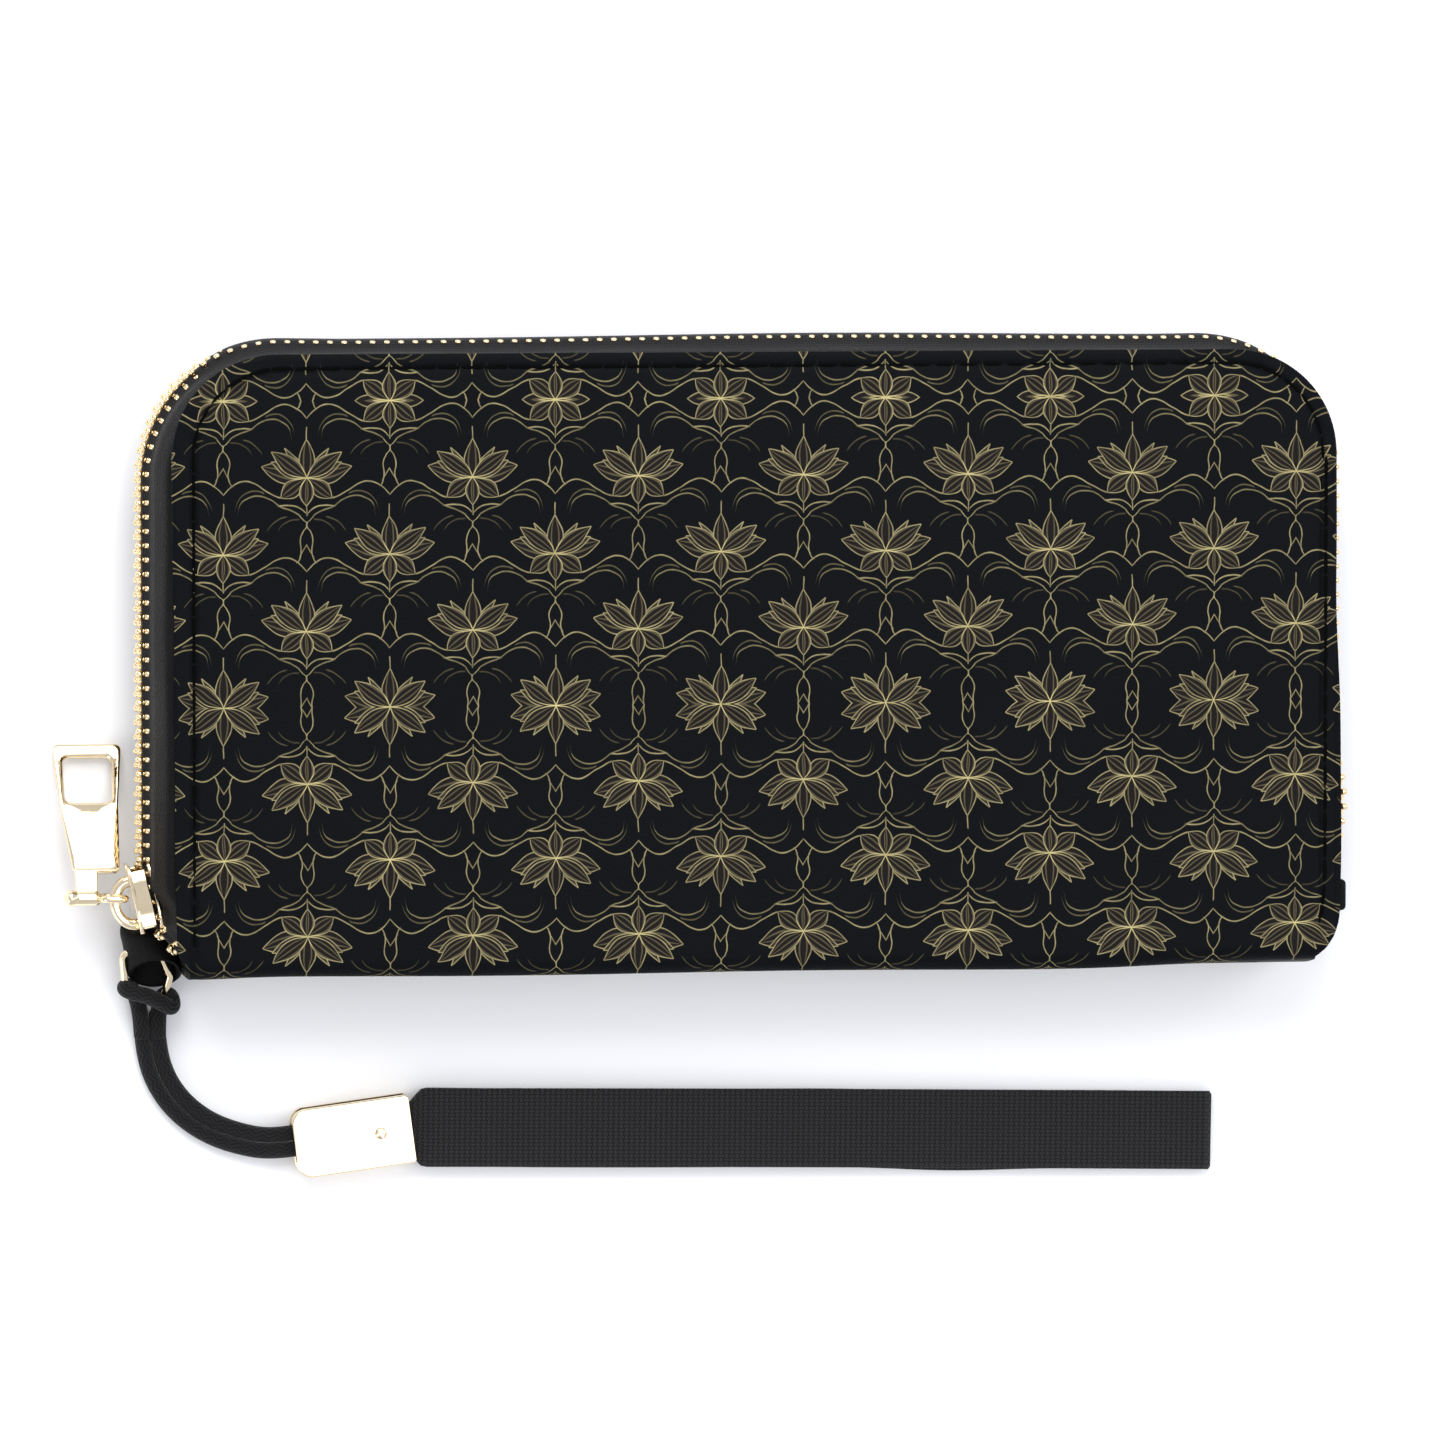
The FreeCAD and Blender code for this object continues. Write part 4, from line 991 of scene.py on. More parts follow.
def zipStrip(name, side, section, thickness, material, slot, node):
    # a strip that follows the chain: section gives its way out from the path and its distance from the
    # middle
    s = np.concatenate([np.linspace(-5.0, 16, 30), np.linspace(16, zipLength + 2, 330)[1:]])
    u, w = np.array(section).T
    fade = np.clip((w - 3) / 5, 0, 1)[None, :]
    spot, out, _ = zipPath(s)
    calm = zipPath(s, 1.0)[0]
    spread = 1.6 * np.clip((-39.6 - spot[:, 1]) / 3.0, 0, 1) * (spot[:, 0] < -90)
    lift = w[None, :] + spread[:, None] * np.clip((6 - w) / 5, 0, 1)[None, :]
    ripple = 0.12 * np.sin(s / 6.0)[:, None] * np.clip((w - 3) / 4, 0, 1)[None, :]
    # along the top the tape stands out beside the teeth, on the sides it leans away from them
    over = np.clip((spot[:, 1:] - 44) / 5, 0, 1)
    sway = u[None, :] + ripple + 0.9 * over * np.exp(-(((w - 2.2) / 1.6) ** 2))[None, :]
    x = spot[:, :1] * (1 - fade) + calm[:, :1] * fade + out[:, :1] * sway
    y = spot[:, 1:] * (1 - fade) + calm[:, 1:] * fade + out[:, 1:] * sway
    z = zipper["middle"] + side * lift
    along = np.concatenate([[0], np.cumsum(np.hypot(np.diff(u), np.diff(w)))])
    uv = np.stack(np.meshgrid(s, along, indexing="ij"), -1) * mm
    piece = gridPiece(name, np.stack([x, y, z], -1) * mm, material, uv, flip=side < 0)
    modifier(piece, "SOLIDIFY", thickness=thickness * mm, offset=0.0)
    half = "back" if side < 0 else "front"
    return settle(piece, half + "_half", slot, node + half)


# the tape beside the teeth, its edge a rounded bead, and the smooth band that leans in under the cover
tapeSection = [(0.0, 0.9), (0.1, 1.1), (0.05, 1.4), (-0.35, 1.9), (-0.9, 2.5), (-1.2, 3.2), (-1.4, 4.2),
               (-1.65, 5.4), (-2.0, 6.6), (-2.2, 7.3)]
bandSection = [(-1.5, 5.9), (-1.35, 6.0), (-1.4, 6.3), (-1.62, 7.2), (-2.0, 8.2), (-2.4, 9.3),
               (-2.8, 10.2), (-3.2, 10.85), (-3.8, 11.15),
               (-5.2, 11.2), (-6.8, 11.2)]


def zipTeeth(name, side, lead):
    # one rounded tooth a pitch, its head past the middle and its legs on the tape's edge
    count = int((zipLength - zipper["pitch"]) / zipper["pitch"])
    s = (np.arange(-2, count) + lead) * zipper["pitch"] + 0.4
    spot, out, _ = zipPath(s)
    before, _, _ = zipPath(s - 0.5)
    after, _, _ = zipPath(s + 0.5)
    along = after - before
    along /= np.linalg.norm(along, axis=1)[:, None]
    across = np.stack([-along[:, 1], along[:, 0]], -1)
    across *= np.sign((across * out).sum(1))[:, None]
    spread = 1.9 * np.clip((-38.4 - spot[:, 1]) / 1.5, 0, 1) * (spot[:, 0] < -90)
    zero, one = np.zeros(len(s)), np.ones(len(s))
    axes = np.stack([np.column_stack([along, zero]), np.column_stack([across, zero]),
                     np.column_stack([zero, zero, one])], 1)
    slim = 1 - 0.4 * np.clip((spot[:, 1] - 44) / 5, 0, 1)
    parts = []
    # the head, then a leg on each side of the tape
    for low, high, wide, long, shift in ((-1.0, 1.9, 0.95, 0.56, 0.0), (0.8, 2.75, 0.66, 0.52, 0.72),
                                         (0.8, 2.75, 0.66, 0.52, -0.72)):
        middle = zipper["middle"] + side * ((low + high) / 2 + spread)
        places = np.column_stack([spot + across * (shift * slim)[:, None], middle])
        parts.append((places, np.column_stack([long * one, wide * slim, (high - low) / 2 * one])))
    places = np.concatenate([p for p, _ in parts])
    halves = np.concatenate([h for _, h in parts])
    piece = scattered(name, beadShape(3.4), places, np.concatenate([axes] * 3), halves, "zipGold")
    half = "back" if side < 0 else "front"
    return settle(piece, half + "_half", "zip_metal", "zip_teeth_" + half)


for side, half, lead in ((-1, "back", 0.25), (1, "front", 0.75)):
    zipStrip(half + "ZipTape", side, tapeSection, 0.5, "zipTape", "zip_tape", "zip_tape_")
    zipStrip(half + "SideBand", side, bandSection, 0.45, "blackLeather", "black_leather", "side_band_")
    zipTeeth(half + "ZipTeeth", side, lead)
endTab = roundedBox("zipEndTab", 95.0 * mm, 97.1 * mm, -42.0 * mm, -37.0 * mm, 8.2 * mm, 16.8 * mm,
                    "blackLeather", 0.7 * mm)
settle(endTab, "back_half", "black_leather", "zip_end_tab")
print("zip made")

slider = {
    "low": -43.7,
    "top": -32.4,
    "x": -97.0,
    "half": 2.05,  # from the chain to the outside of a plate
    "plate": 0.75,
    "wide": 5.7,  # half the width at the end where the rows part
    "narrow": 4.3,
    "crown": (-98.75, -38.6, 3.05),
    "tilt": 12.0,  # degrees, leaning towards the wallet at its top
}


def sliderOutline(inset=0.0, extra=0.0):
    # half widths along the slider, its corners rounded by a few points, as (y, z) pairs
    low, top = slider["low"] - extra, slider["top"] + extra
    wide, narrow = slider["wide"] - inset, slider["narrow"] - inset
    middle = (low + top) / 2
    side = [(low, wide - 1.4), (low + 0.35, wide - 0.5), (low + 1.2, wide), (middle - 1, wide),
            (middle + 2, narrow), (top - 1.3, narrow),
            (top - 0.4, narrow - 0.5), (top, narrow - 1.5)]
    centre = zipper["middle"]
    return [(y, centre + z) for y, z in side] + [(y, centre - z) for y, z in reversed(side)]


def sliderPiece():
    x, half, plate, z = slider["x"], slider["half"], slider["plate"], zipper["middle"]
    outline = np.array(sliderOutline()) * mm
    parts = [
        prismPiece("outerPlate", outline, (x - half) * mm, (x - half + plate) * mm, "lightGold", 0.3 * mm,
                   4, "x"),
        prismPiece("innerPlate", np.array(sliderOutline(1.2)) * mm, (x + half - plate) * mm,
                   (x + half) * mm, "lightGold", 0.3 * mm, 3, "x"),
    ]
    for side in (-1, 1):
        # a broad flange turns in from the outer plate on each side and leaves a slot for the tape
        wide, narrow = slider["wide"], slider["narrow"]
        low, top = slider["low"] + 1.2, slider["top"] - 1.0
        strip = [(low, z + side * wide), (-39.0, z + side * wide), (-36.2, z + side * narrow),
                 (top, z + side * narrow),
                 (top, z + side * (narrow - 0.7)), (-36.4, z + side * (narrow - 0.7)),
                 (-39.2, z + side * (wide - 0.7)), (low, z + side * (wide - 0.7))]
        parts.append(prismPiece("flange", np.array(strip) * mm, (x - half + 0.35) * mm, (x + 0.85) * mm,
                                "lightGold", 0.25 * mm, 3, "x"))
    neck = [(slider["low"] + 0.5, z - 0.6), (-41.5, z - 0.6), (-40.3, z), (-41.5, z + 0.6),
            (slider["low"] + 0.5, z + 0.6)]
    parts.append(prismPiece("neck", np.array(neck) * mm, (x - half + 0.3) * mm, (x + half - 0.3) * mm,
                            "lightGold", 0.15 * mm, 2, "x"))
    body = joined("sliderBody", parts)
    turn = Matrix.Translation(Vector((x, -38.0, z))
                              * mm) @ Matrix.Rotation(math.radians(slider["tilt"]), 4, "Z")
    turn = turn @ Matrix.Translation(Vector((-x, 38.0, -z)) * mm)
    body.data.transform(turn)
    settle(body, "slider", "gold_metal", "slider_body")
    # the crown: a flat bar bent into a round arch over the outer plate
    cx, cy, r = slider["crown"]
    angle = np.radians(np.linspace(84, 261, 40))
    lowered = np.stack([cx + r * np.cos(angle), cy + 1.16 * r * np.sin(angle)], -1)
    path = np.column_stack([lowered, np.full(len(lowered), z)]) * mm
    t = np.linspace(0, 2 * math.pi, 28, endpoint=False)
    bar = np.stack([np.sign(np.cos(t)) * np.abs(np.cos(t)) ** 0.45 * 1.9,
                    np.sign(np.sin(t)) * np.abs(np.sin(t)) ** 0.45 * 0.95], -1)
    side = frames(path)[1]
    if abs(side[0][2]) < 0.5:
        bar = bar[:, ::-1]
    narrowing = 1 - 0.14 * np.sin(np.linspace(0, math.pi, len(path)))
    crown = sweptPiece("sliderCrown", path, bar * mm, "lightGold", scale=narrowing)
    crown.data.transform(turn)
    settle(crown, "slider", "gold_metal", "slider_crown")


def linkPiece():
    # an eye of round wire through the crown's hole, on a bar with a thick end
    y, z = -38.25, zipper["middle"]
    eye = [(-100.05, y, z - 2.7), (-100.05, y, z + 2.7), (-103.65, y, z + 2.7), (-103.65, y, z - 2.7)]
    loop = sweptPiece("eye", roundedPath(eye, 1.1, steps=9) * mm, circle(0.6, 16) * mm, "lightGold",
                      closed=True)
    runs = [(-109.25, 0.9), (-109.15, 1.2), (-108.95, 1.38), (-108.4, 1.36), (-107.6, 1.15),
            (-106.6, 0.95), (-105, 0.8), (-103.7, 0.7)]
    x, radius = np.array(runs).T
    path = np.column_stack([x, np.full(len(x), y), np.full(len(x), z)]) * mm
    bar = sweptPiece("bar", path, circle(1.0, 24) * mm, "lightGold", scale=radius)
    link = joined("pullLink", [loop, bar])
    settle(link, "pull_link", "gold_metal", "pull_link")


def loopOutline(halfLow, halfHigh, low, high, radius, count=96):
    # a tapering four-sided outline with round corners, evenly spaced, as (x, y)
    corners = [(-halfLow, low, 0), (halfLow, low, 0), (halfHigh, high, 0), (-halfHigh, high, 0)]
    path = roundedPath(corners, radius, steps=9)[:, :2]
    path = np.vstack([path, path[:1]])
    run = np.concatenate([[0], np.cumsum(np.hypot(*np.diff(path, axis=0).T))])
    even = np.linspace(0, run[-1], count, endpoint=False)
    line = np.stack([np.interp(even, run, path[:, 0]), np.interp(even, run, path[:, 1])], -1)
    return line


def pullPiece():
    # a tapered plate with a window, bevelled inside and out, hanging on a sleeve
    outer = loopOutline(3.7, 5.6, 4.3, 26.3, 0.9, 120)
    inner = loopOutline(3.8, 3.9, 16.3, 24.2, 1.1, 120)
    centre = np.array([0.0, 20.2])

    def byAngle(line):
        angle = np.arctan2(line[:, 0] - centre[0], line[:, 1] - centre[1])
        order = np.argsort(angle)
        return angle[order], line[order]

    outerAngle, outerLine = byAngle(outer)
    innerAngle, innerLine = byAngle(inner)
    wrapped = np.concatenate([innerAngle - 2 * math.pi, innerAngle, innerAngle + 2 * math.pi])
    tripled = np.vstack([innerLine] * 3)
    matched = np.stack([np.interp(outerAngle, wrapped, tripled[:, k]) for k in (0, 1)], -1)
    t, b = 0.75, 0.28
    rows = []
    for share, inset, height in (
        (0, 0, -t + b), (0, 0, t - b), (0, b * 0.35, t - b * 0.3), (0, b, t), (0.3, 0, t), (0.7, 0, t),
                                 (1, -b * 2.2, t), (1, -b * 1.2, t - b * 0.5),
        (1, -b * 0.3, t - b * 1.3), (1, 0, t - b * 2), (1, 0, -t + b), (1, -b, -t), (0.7, 0, -t),
                                 (0.3, 0, -t), (0, b, -t), (0, b * 0.35, -t + b * 0.3),
    ):
        line = outerLine * (1 - share) + matched * share
        away = outerLine - matched
        away = away / np.linalg.norm(away, axis=1)[:, None]
        line = line - away * inset
        # its outer side tapers more than the one beside the zip
        lean = 0.9 + 0.8 * np.clip((16.0 - line[:, 1]) / 12.0, 0, 1)
        rows.append(np.column_stack([line[:, 0] + lean, line[:, 1], np.full(len(line), height)]))
    plate = outward(gridPiece("plate", np.array(rows) * mm, "lightGold", closeRows=True, closeColumns=True))
    # the neck is offset to the thin end of the bar, and the sleeve goes round it
    neck = prismPiece("neckBlock", np.array([(-1.7, 0.6), (1.7, 0.6), (1.9, 4.9), (-1.9, 4.9)]) * mm,
                      -0.7 * mm, 0.7 * mm, "lightGold", 0.25 * mm, 3)
    sleevePath = np.array([(x, 0, 0) for x in (-1.6, -1.2, 0, 1.2, 1.6)]) * mm
    sleeve = sweptPiece("sleeve", sleevePath, circle(1.2, 28) * mm, "lightGold")
    pull = joined("pullTab", [plate, neck, sleeve])
    place = Vector((-106.03, -38.25, zipper["middle"])) * mm
    pull.data.transform(Matrix.Translation(place) @ Matrix.Rotation(math.radians(-26), 4, "X"))
    settle(pull, "pull_tab", "gold_metal", "pull_tab")


sliderPiece()
linkPiece()
pullPiece()
print("slider and pull made")

strapLoop = {"centre": (-96.4, 6.2), "slant": 1.9, "half": (4.3, 3.8), "wall": 0.85, "back": -43.3,
             "mouthTop": -48.4, "mouthLow": -53.2}


def leatherLoop():
    # an oval tube of leather whose mouth is cut askew, pinched flat where it goes in between the covers
    t = np.linspace(0, 2 * math.pi, 64, endpoint=False)
    cx, cz = strapLoop["centre"]
    a, b = strapLoop["half"]
    rows = []
    wall = strapLoop["wall"]
    for inner in (False, True):
        ra, rb = (a - wall, b - wall) if inner else (a, b)
        ks = np.linspace(0, 1, 18)
        for k in ks[::-1] if inner else ks:
            pinch = np.clip((0.28 - k) / 0.28, 0, 1) ** 2
            x = cx + strapLoop["slant"] * k + np.cos(t) * ra * (1 - 0.14 * pinch)
            z = cz + np.sin(t) * rb * (1 - 0.55 * pinch) - 0.3 * pinch
            mouth = strapLoop["mouthLow"] + (strapLoop["mouthTop"]
                                             - strapLoop["mouthLow"]) * (np.sin(t) + 1) / 2
            y = strapLoop["back"] + (mouth - strapLoop["back"]) * k
            soft = 0.15 * np.sin(3 * t + 4 * k)
            rows.append(np.column_stack([x + soft * np.cos(t), y, z + soft * np.sin(t)]))
        if not inner:
            # the rim, rounded over in two rows
            for share in (0.3, 0.7):
                x = cx + strapLoop["slant"] + np.cos(t) * (a - wall * share)
                z = cz + np.sin(t) * (b - wall * share)
                rows.append(np.column_stack([x, mouth - 0.22, z]))
    piece = outward(gridPiece("leatherLoop", np.array(rows) * mm, "blackLeather", closeRows=True,
                              closeColumns=True))
    tongue = roundedBox("tongue", -92.5 * mm, -84.0 * mm, -49.0 * mm, -46.4 * mm, 4.35 * mm, 5.15 * mm,
                        "blackLeather", 0.2 * mm)
    piece = joined("strapLoop", [piece, tongue])
    settle(piece, "back_half", "black_leather", "strap_loop")


def ringPlace(x, y):
    # from the ring's own plane to the wallet
    tilt, middle = math.radians(14), -51.35
    return (x, middle + (y - middle) * math.cos(tilt), 5.8 + (y - middle) * math.sin(tilt))


def ringPiece():
    corners = [(-99.9, -47.6), (-94.2, -46.6), (-92.2, -51.6), (-93.3, -55.7), (-99.2, -54.1)]
    path = roundedPath([ringPlace(x, y) for x, y in corners], 1.15, steps=8) * mm
    ring = sweptPiece("ring", path, circle(0.6, 18) * mm, "lightGold", closed=True)
    settle(ring, "ring", "gold_metal", "ring")


cords = {
    "radius": 1.25,
    "first": [(-94.0, -57.7, 2.0), (-93.66, -62.4, 1.3), (-92.6, -67.1, 1.3), (-90.0, -71.35, 1.3),
              (-86.0, -74.7, 1.35), (-81.2, -76.75, 1.7),
              (-74.9, -77.95, 2.4), (-68.83, -76.57, 2.7)],
    "second": [(-96.6, -57.7, 2.0), (-96.25, -62.8, 1.3), (-95.0, -68.1, 1.3), (-92.0, -73.05, 1.3),
               (-87.4, -76.9, 1.35), (-82.0, -79.25, 1.7),
               (-75.0, -80.55, 2.4), (-68.47, -79.25, 2.7)],
    # the hitch: under the ring's bar, over it, across in front and back under
    "hitch": [(-96.35, -61.4, 2.0), (-96.5, -58.6, 2.2), (-97.2, -55.0, 2.4), (-98.6, -52.9, 3.8),
              (-99.7, -53.3, 6.2), (-98.2, -54.0, 6.6),
              (-95.8, -54.5, 6.8), (-93.6, -55.6, 6.8), (-91.7, -56.7, 6.4), (-91.8, -54.6, 4.4),
              (-93.2, -54.6, 2.4), (-93.8, -58.4, 2.0),
              (-93.75, -61.4, 2.0)],
}


def cordPieces():
    round20 = circle(cords["radius"], 22) * mm
    for name, node in (("first", "cord_strand_1"), ("second", "cord_strand_2")):
        route = np.array(cords[name]) * mm
        line = smoothLine(route, 90)
        piece = sweptPiece(name + "Strand", line, round20, "braidedCord")
        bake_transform(piece)
        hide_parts(node)
    hitchLine = smoothLine(np.array(cords["hitch"]) * mm, 150)
    hitch = sweptPiece("cordHitch", hitchLine, round20 * 1.05, "braidedCord")
    settle(hitch, "ring", "cord", "cord_hitch")


clamp = {"centre": (-62.5, -77.8), "turn": 7.6, "half": (9.6, 5.5), "height": 5.4, "plate": 0.8,
         "corner": 2.4,
         "screwInset": 5.2, "crossTurn": 0.35}


def clampPlace():
    x, y = clamp["centre"]
    return Matrix.Translation(Vector((x, y, 0)) * mm) @ Matrix.Rotation(math.radians(clamp["turn"]), 4, "Z")


def clampOutline(inset=0.0, sharp=0.35):
    a, b = clamp["half"]
    a, b, r = a - inset, b - inset, clamp["corner"] - inset * 0.6
    turn = np.linspace(0, math.pi / 2, 9)
    points = [(a - sharp, b), (a, b - sharp), (a, -b + sharp), (a - sharp, -b)]
    low = [(-a + r - r * math.sin(t), -b + r - r * math.cos(t)) for t in turn]
    high = [(-a + r - r * math.cos(t), b - r + r * math.sin(t)) for t in turn]
    return np.array(points[:1] + points[1:] + low + high)[::-1]


def clampPieces():
    outline = clampOutline() * mm
    h, t = clamp["height"], clamp["plate"]
    front = prismPiece("clampFrontPlate", outline, (h - t) * mm, h * mm, "lightGold", 0.28 * mm, 4)
    front.data.transform(clampPlace())
    settle(front, "strap", "gold_metal", "clamp_front_plate")
    # the back shell: walls all round but for the two mouths, on a floor
    floor = prismPiece("clampFloor", outline, 0.1 * mm, 0.95 * mm, "lightGold", 0.28 * mm, 3)
    a = clamp["half"][0]
    outer, inner = clampOutline(0.12), clampOutline(0.95)
    parts = [floor]
    for sign in (-1, 1):
        arc = sorted([p for p in outer if p[1] * sign > 2.9], key=lambda p: (p[0], p[1] * sign))
        back = sorted([p for p in inner if p[1] * sign > 2.9], key=lambda p: (p[0], p[1] * sign),
                      reverse=True)
        wall = [(-a + 0.12, 2.95 * sign), *map(tuple, arc), *map(tuple, back), (-a + 0.95, 2.95 * sign)]
        parts.append(prismPiece("clampWall", np.array(wall) * mm, 0.5 * mm, (h - t - 0.03) * mm,
                                "lightGold"))
    shell = joined("clampBackShell", parts)
    for polygon in shell.data.polygons:
        polygon.use_smooth = True
    shell.data.transform(clampPlace())
    settle(shell, "strap", "gold_metal", "clamp_back_shell")


def crossGap(x, y):
    # from a point on the screw's head to the nearer arm of its cross:
    # min(|x cos t + y sin t|, |y cos t - x sin t|)
    cos, sin = math.cos(clamp["crossTurn"]), math.sin(clamp["crossTurn"])
    return np.minimum(np.abs(x * cos + y * sin), np.abs(y * cos - x * sin))


def screwPiece():
    # a low domed head with a cross cut in it
    spot = clamp["half"][0] - clamp["screwInset"]
    turn = np.linspace(0, 2 * math.pi, 144, endpoint=False)
    profile = [(0.62, -3.5), (0.62, -0.3), (0.86, -0.1), (0.93, 0.0), (0.94, 0.07), (0.9, 0.13)]
    profile += [(r, 0.21 - 0.08 * (r / 0.86) ** 2) for r in np.linspace(0.86, 0.02, 24)]
    rows = []
    for r, z in profile:
        x, y = r * np.cos(turn), r * np.sin(turn)
        cut = (crossGap(x, y) < 0.16) & (r < 0.8) & (z > 0.1)
        rows.append(np.column_stack([x, y, np.full(144, z) - 0.4 * cut]))
    screw = gridPiece("clampScrew", np.array(rows) * mm, "screwGold", closeColumns=True)
    outward(screw)
    # painted shade: the cross and the crack round the head take the black edge finish, standing in for the
    # shade in the cut and under the head's rim
    screw.data.materials.append(materials["edgePaint"])
    centres = np.zeros(len(screw.data.polygons) * 3)
    screw.data.polygons.foreach_get("center", centres)
    x, y, z = centres.reshape(-1, 3).T / mm
    r = np.hypot(x, y)
    dark = ((crossGap(x, y) < 0.15) & (r < 0.78)) | (r > 0.87)
    screw.data.polygons.foreach_set("material_index", dark.astype(np.int32))
    screw.data.transform(clampPlace() @ Matrix.Translation(Vector((spot, 0, clamp["height"])) * mm))
    settle(screw, "strap", "screw", "clamp_screw")


webStrip = {"width": 12.7, "thick": 1.15, "length": 130.0, "inside": 7.6, "turn": -0.95, "height": 2.7,
            "far": 1.32, "gap": 0.1}


def webbingPiece():
    # one tape folded in two: along the lower layer, round the far end and back along the upper one
    w, length, inside = webStrip["width"], webStrip["length"], webStrip["inside"]
    half, t = webStrip["gap"] / 2 + webStrip["thick"] / 2, webStrip["thick"]
    straight = np.linspace(-inside, length - 0.6, 150)
    bend = np.linspace(-math.pi / 2, math.pi / 2, 9)[1:-1]
    x = np.concatenate([straight, length - 0.6 + (half * 0.95) * np.cos(bend), straight[::-1]])
    level = np.concatenate([np.full(150, -half), half * np.sin(bend), np.full(150, half)])
    upper = np.concatenate([np.zeros(150), np.linspace(0, 1, len(bend)), np.ones(150)])
    droop = (webStrip["height"] - webStrip["far"]) * np.clip(x / length, 0, 1)
    centre = webStrip["height"] + level - droop
    # the two layers wander apart a little sideways, most where the lower one shows
    apart = 0.55 * np.exp(-(((x - 88) / 12.0) ** 2)) + 0.12 * np.sin(x / 17.0)
    sway = np.where(upper > 0.5, 0.12 * np.sin(x / 41.0), -apart)
    waist = 3.4 + (w / 2 - 3.4) * np.clip((x + 0.6) / 2.4, 0, 1) ** 0.8
    # the section: flat, with soft selvedges a little thicker than the rest
    across = np.concatenate([np.linspace(-1, 1, 25), np.linspace(1, -1, 25)[0:25]])
    side = np.concatenate([np.ones(25), -np.ones(25)])
    ridge = 0.5 * t * (1 - 0.6 * np.abs(across) ** 26) + 0.05 * np.exp(-(((np.abs(across) - 0.9)
                                                                          / 0.05) ** 2))
    along = np.concatenate([[0], np.cumsum(np.hypot(np.diff(x), np.diff(centre)))])
    tangent = np.stack([np.gradient(x), np.gradient(centre)], -1)
    tangent /= np.linalg.norm(tangent, axis=1)[:, None]
    normal = np.stack([-tangent[:, 1], tangent[:, 0]], -1)
    offset = ridge * side
    px = x[:, None] + normal[:, :1] * offset[None, :]
    pz = centre[:, None] + normal[:, 1:] * offset[None, :]
    py = waist[:, None] * across[None, :] + sway[:, None]
    cup = 0.1 * (across**2)[None, :] * np.sin(x / 23.0)[:, None] * np.clip(x / 20, 0, 1)[:, None]
    points = np.stack([px, py, np.maximum(pz + np.maximum(cup, 0), 0.05)], -1)
    uv = np.stack([np.repeat(along[:, None], 50, 1), np.repeat((across * w / 2)[None, :], len(x), 0)],
                  -1) * mm
    # the two ends close to a flat line
    flatRow = [points[k].copy() for k in (0, -1)]
    for row, k in zip(flatRow, (0, -1)):
        row[:, 2] = centre[k]
    points = np.concatenate([flatRow[0][None], points, flatRow[1][None]])
    uv = np.concatenate([uv[:1], uv, uv[-1:]])
    piece = gridPiece("webbing", points * mm, "webbing", uv, closeColumns=True)
    outward(piece)
    place = clampPlace() @ Vector((clamp["half"][0] * mm, 0, 0))
    piece.data.transform(Matrix.Translation((place.x, place.y, 0))
                         @ Matrix.Rotation(math.radians(webStrip["turn"]), 4, "Z"))
    settle(piece, "strap", "webbing", "webbing")
    print("webbing", round(float(along[-1]), 1), "mm long when flat")


leatherLoop()
ringPiece()
cordPieces()
clampPieces()
screwPiece()
webbingPiece()
print("strap made")

inner = {
    "lining": {"wide": 90.8, "low": -47.0, "high": 47.0, "corner": 17.8, "level": 2.3, "thick": 0.45},
    "card": {"wide": 86.0, "low": -45.0, "tops": (36.0, 23.0, 10.0, -3.0), "level": 2.8, "step": 0.5,
             "thick": 0.36},
    "wall": {"wide": 82.0, "low": -49.4, "high": 35.0, "level": 10.4, "thick": 0.5},
    "coinZip": {"wide": 81.0, "y": 37.2, "pitch": 2.28},
    "gusset": [(89.4, 2.35), (89.3, 3.4), (88.2, 4.7), (84.0, 5.9), (80.0, 6.6), (79.4, 7.4), (80.2, 8.6),
               (81.4, 9.75)],
}


def innerSheet(name, size, high, level, side, material, slot, body, *nodes, hem=0.0, relief=0.05):
    # a flat cloth or leather sheet parallel to the covers: level is how far its free face stands from
    # the cover's outside
    rows, columns = 70, 130
    y = np.linspace(size["low"], high, rows)
    corner = size.get("corner", 0.0)
    up = np.clip(y - (high - corner), 0, corner)
    half = size["wide"] - (corner - np.sqrt(np.maximum(corner * corner - up * up, 0)))
    share = np.linspace(-1, 1, columns)
    x = half[:, None] * share[None, :]
    yy = np.repeat(y[:, None], columns, 1)
    # it swells a little between its fixed edges, and a turned hem stands up along its top
    edge = np.clip(np.minimum(size["wide"] - np.abs(x), yy - size["low"]) / 6, 0, 1)
    swell = relief * edge * (np.sin(x / 19.0 + high) * np.cos(yy / 13.0) + 0.6 * np.sin(x / 7.0 + yy / 9.0))
    turned = hem * np.clip((yy - (high - 3.2)) / 0.25, 0, 1) * np.clip((high - yy) / 0.3, 0, 1) ** 0.5
    height = level + swell + turned - size["thick"] / 2
    z = height if side < 0 else cover["height"] - height
    uv = np.stack([x, yy], -1) * mm
    piece = gridPiece(name, np.stack([x, yy, z], -1) * mm, material, uv)
    modifier(piece, "SOLIDIFY", thickness=size["thick"] * mm, offset=0.0)
    return settle(piece, body, slot, *nodes)


def panelStitches(name, size, high, level, side, body):
    # a row of small stitches under the hem
    x = np.arange(-size["wide"] + 2.5, size["wide"] - 2, 2.6)
    y = np.full(len(x), high - 2.4)
    height = level + 0.14
    z = np.full(len(x), height if side < 0 else cover["height"] - height)
    axes = np.tile(np.eye(3), (len(x), 1, 1))
    halves = np.tile([1.0, 0.17, 0.14], (len(x), 1))
    piece = scattered(name, beadShape(3.0, 2), np.column_stack([x, y, z]), axes, halves, "thread")
    settle(piece, body, "thread")


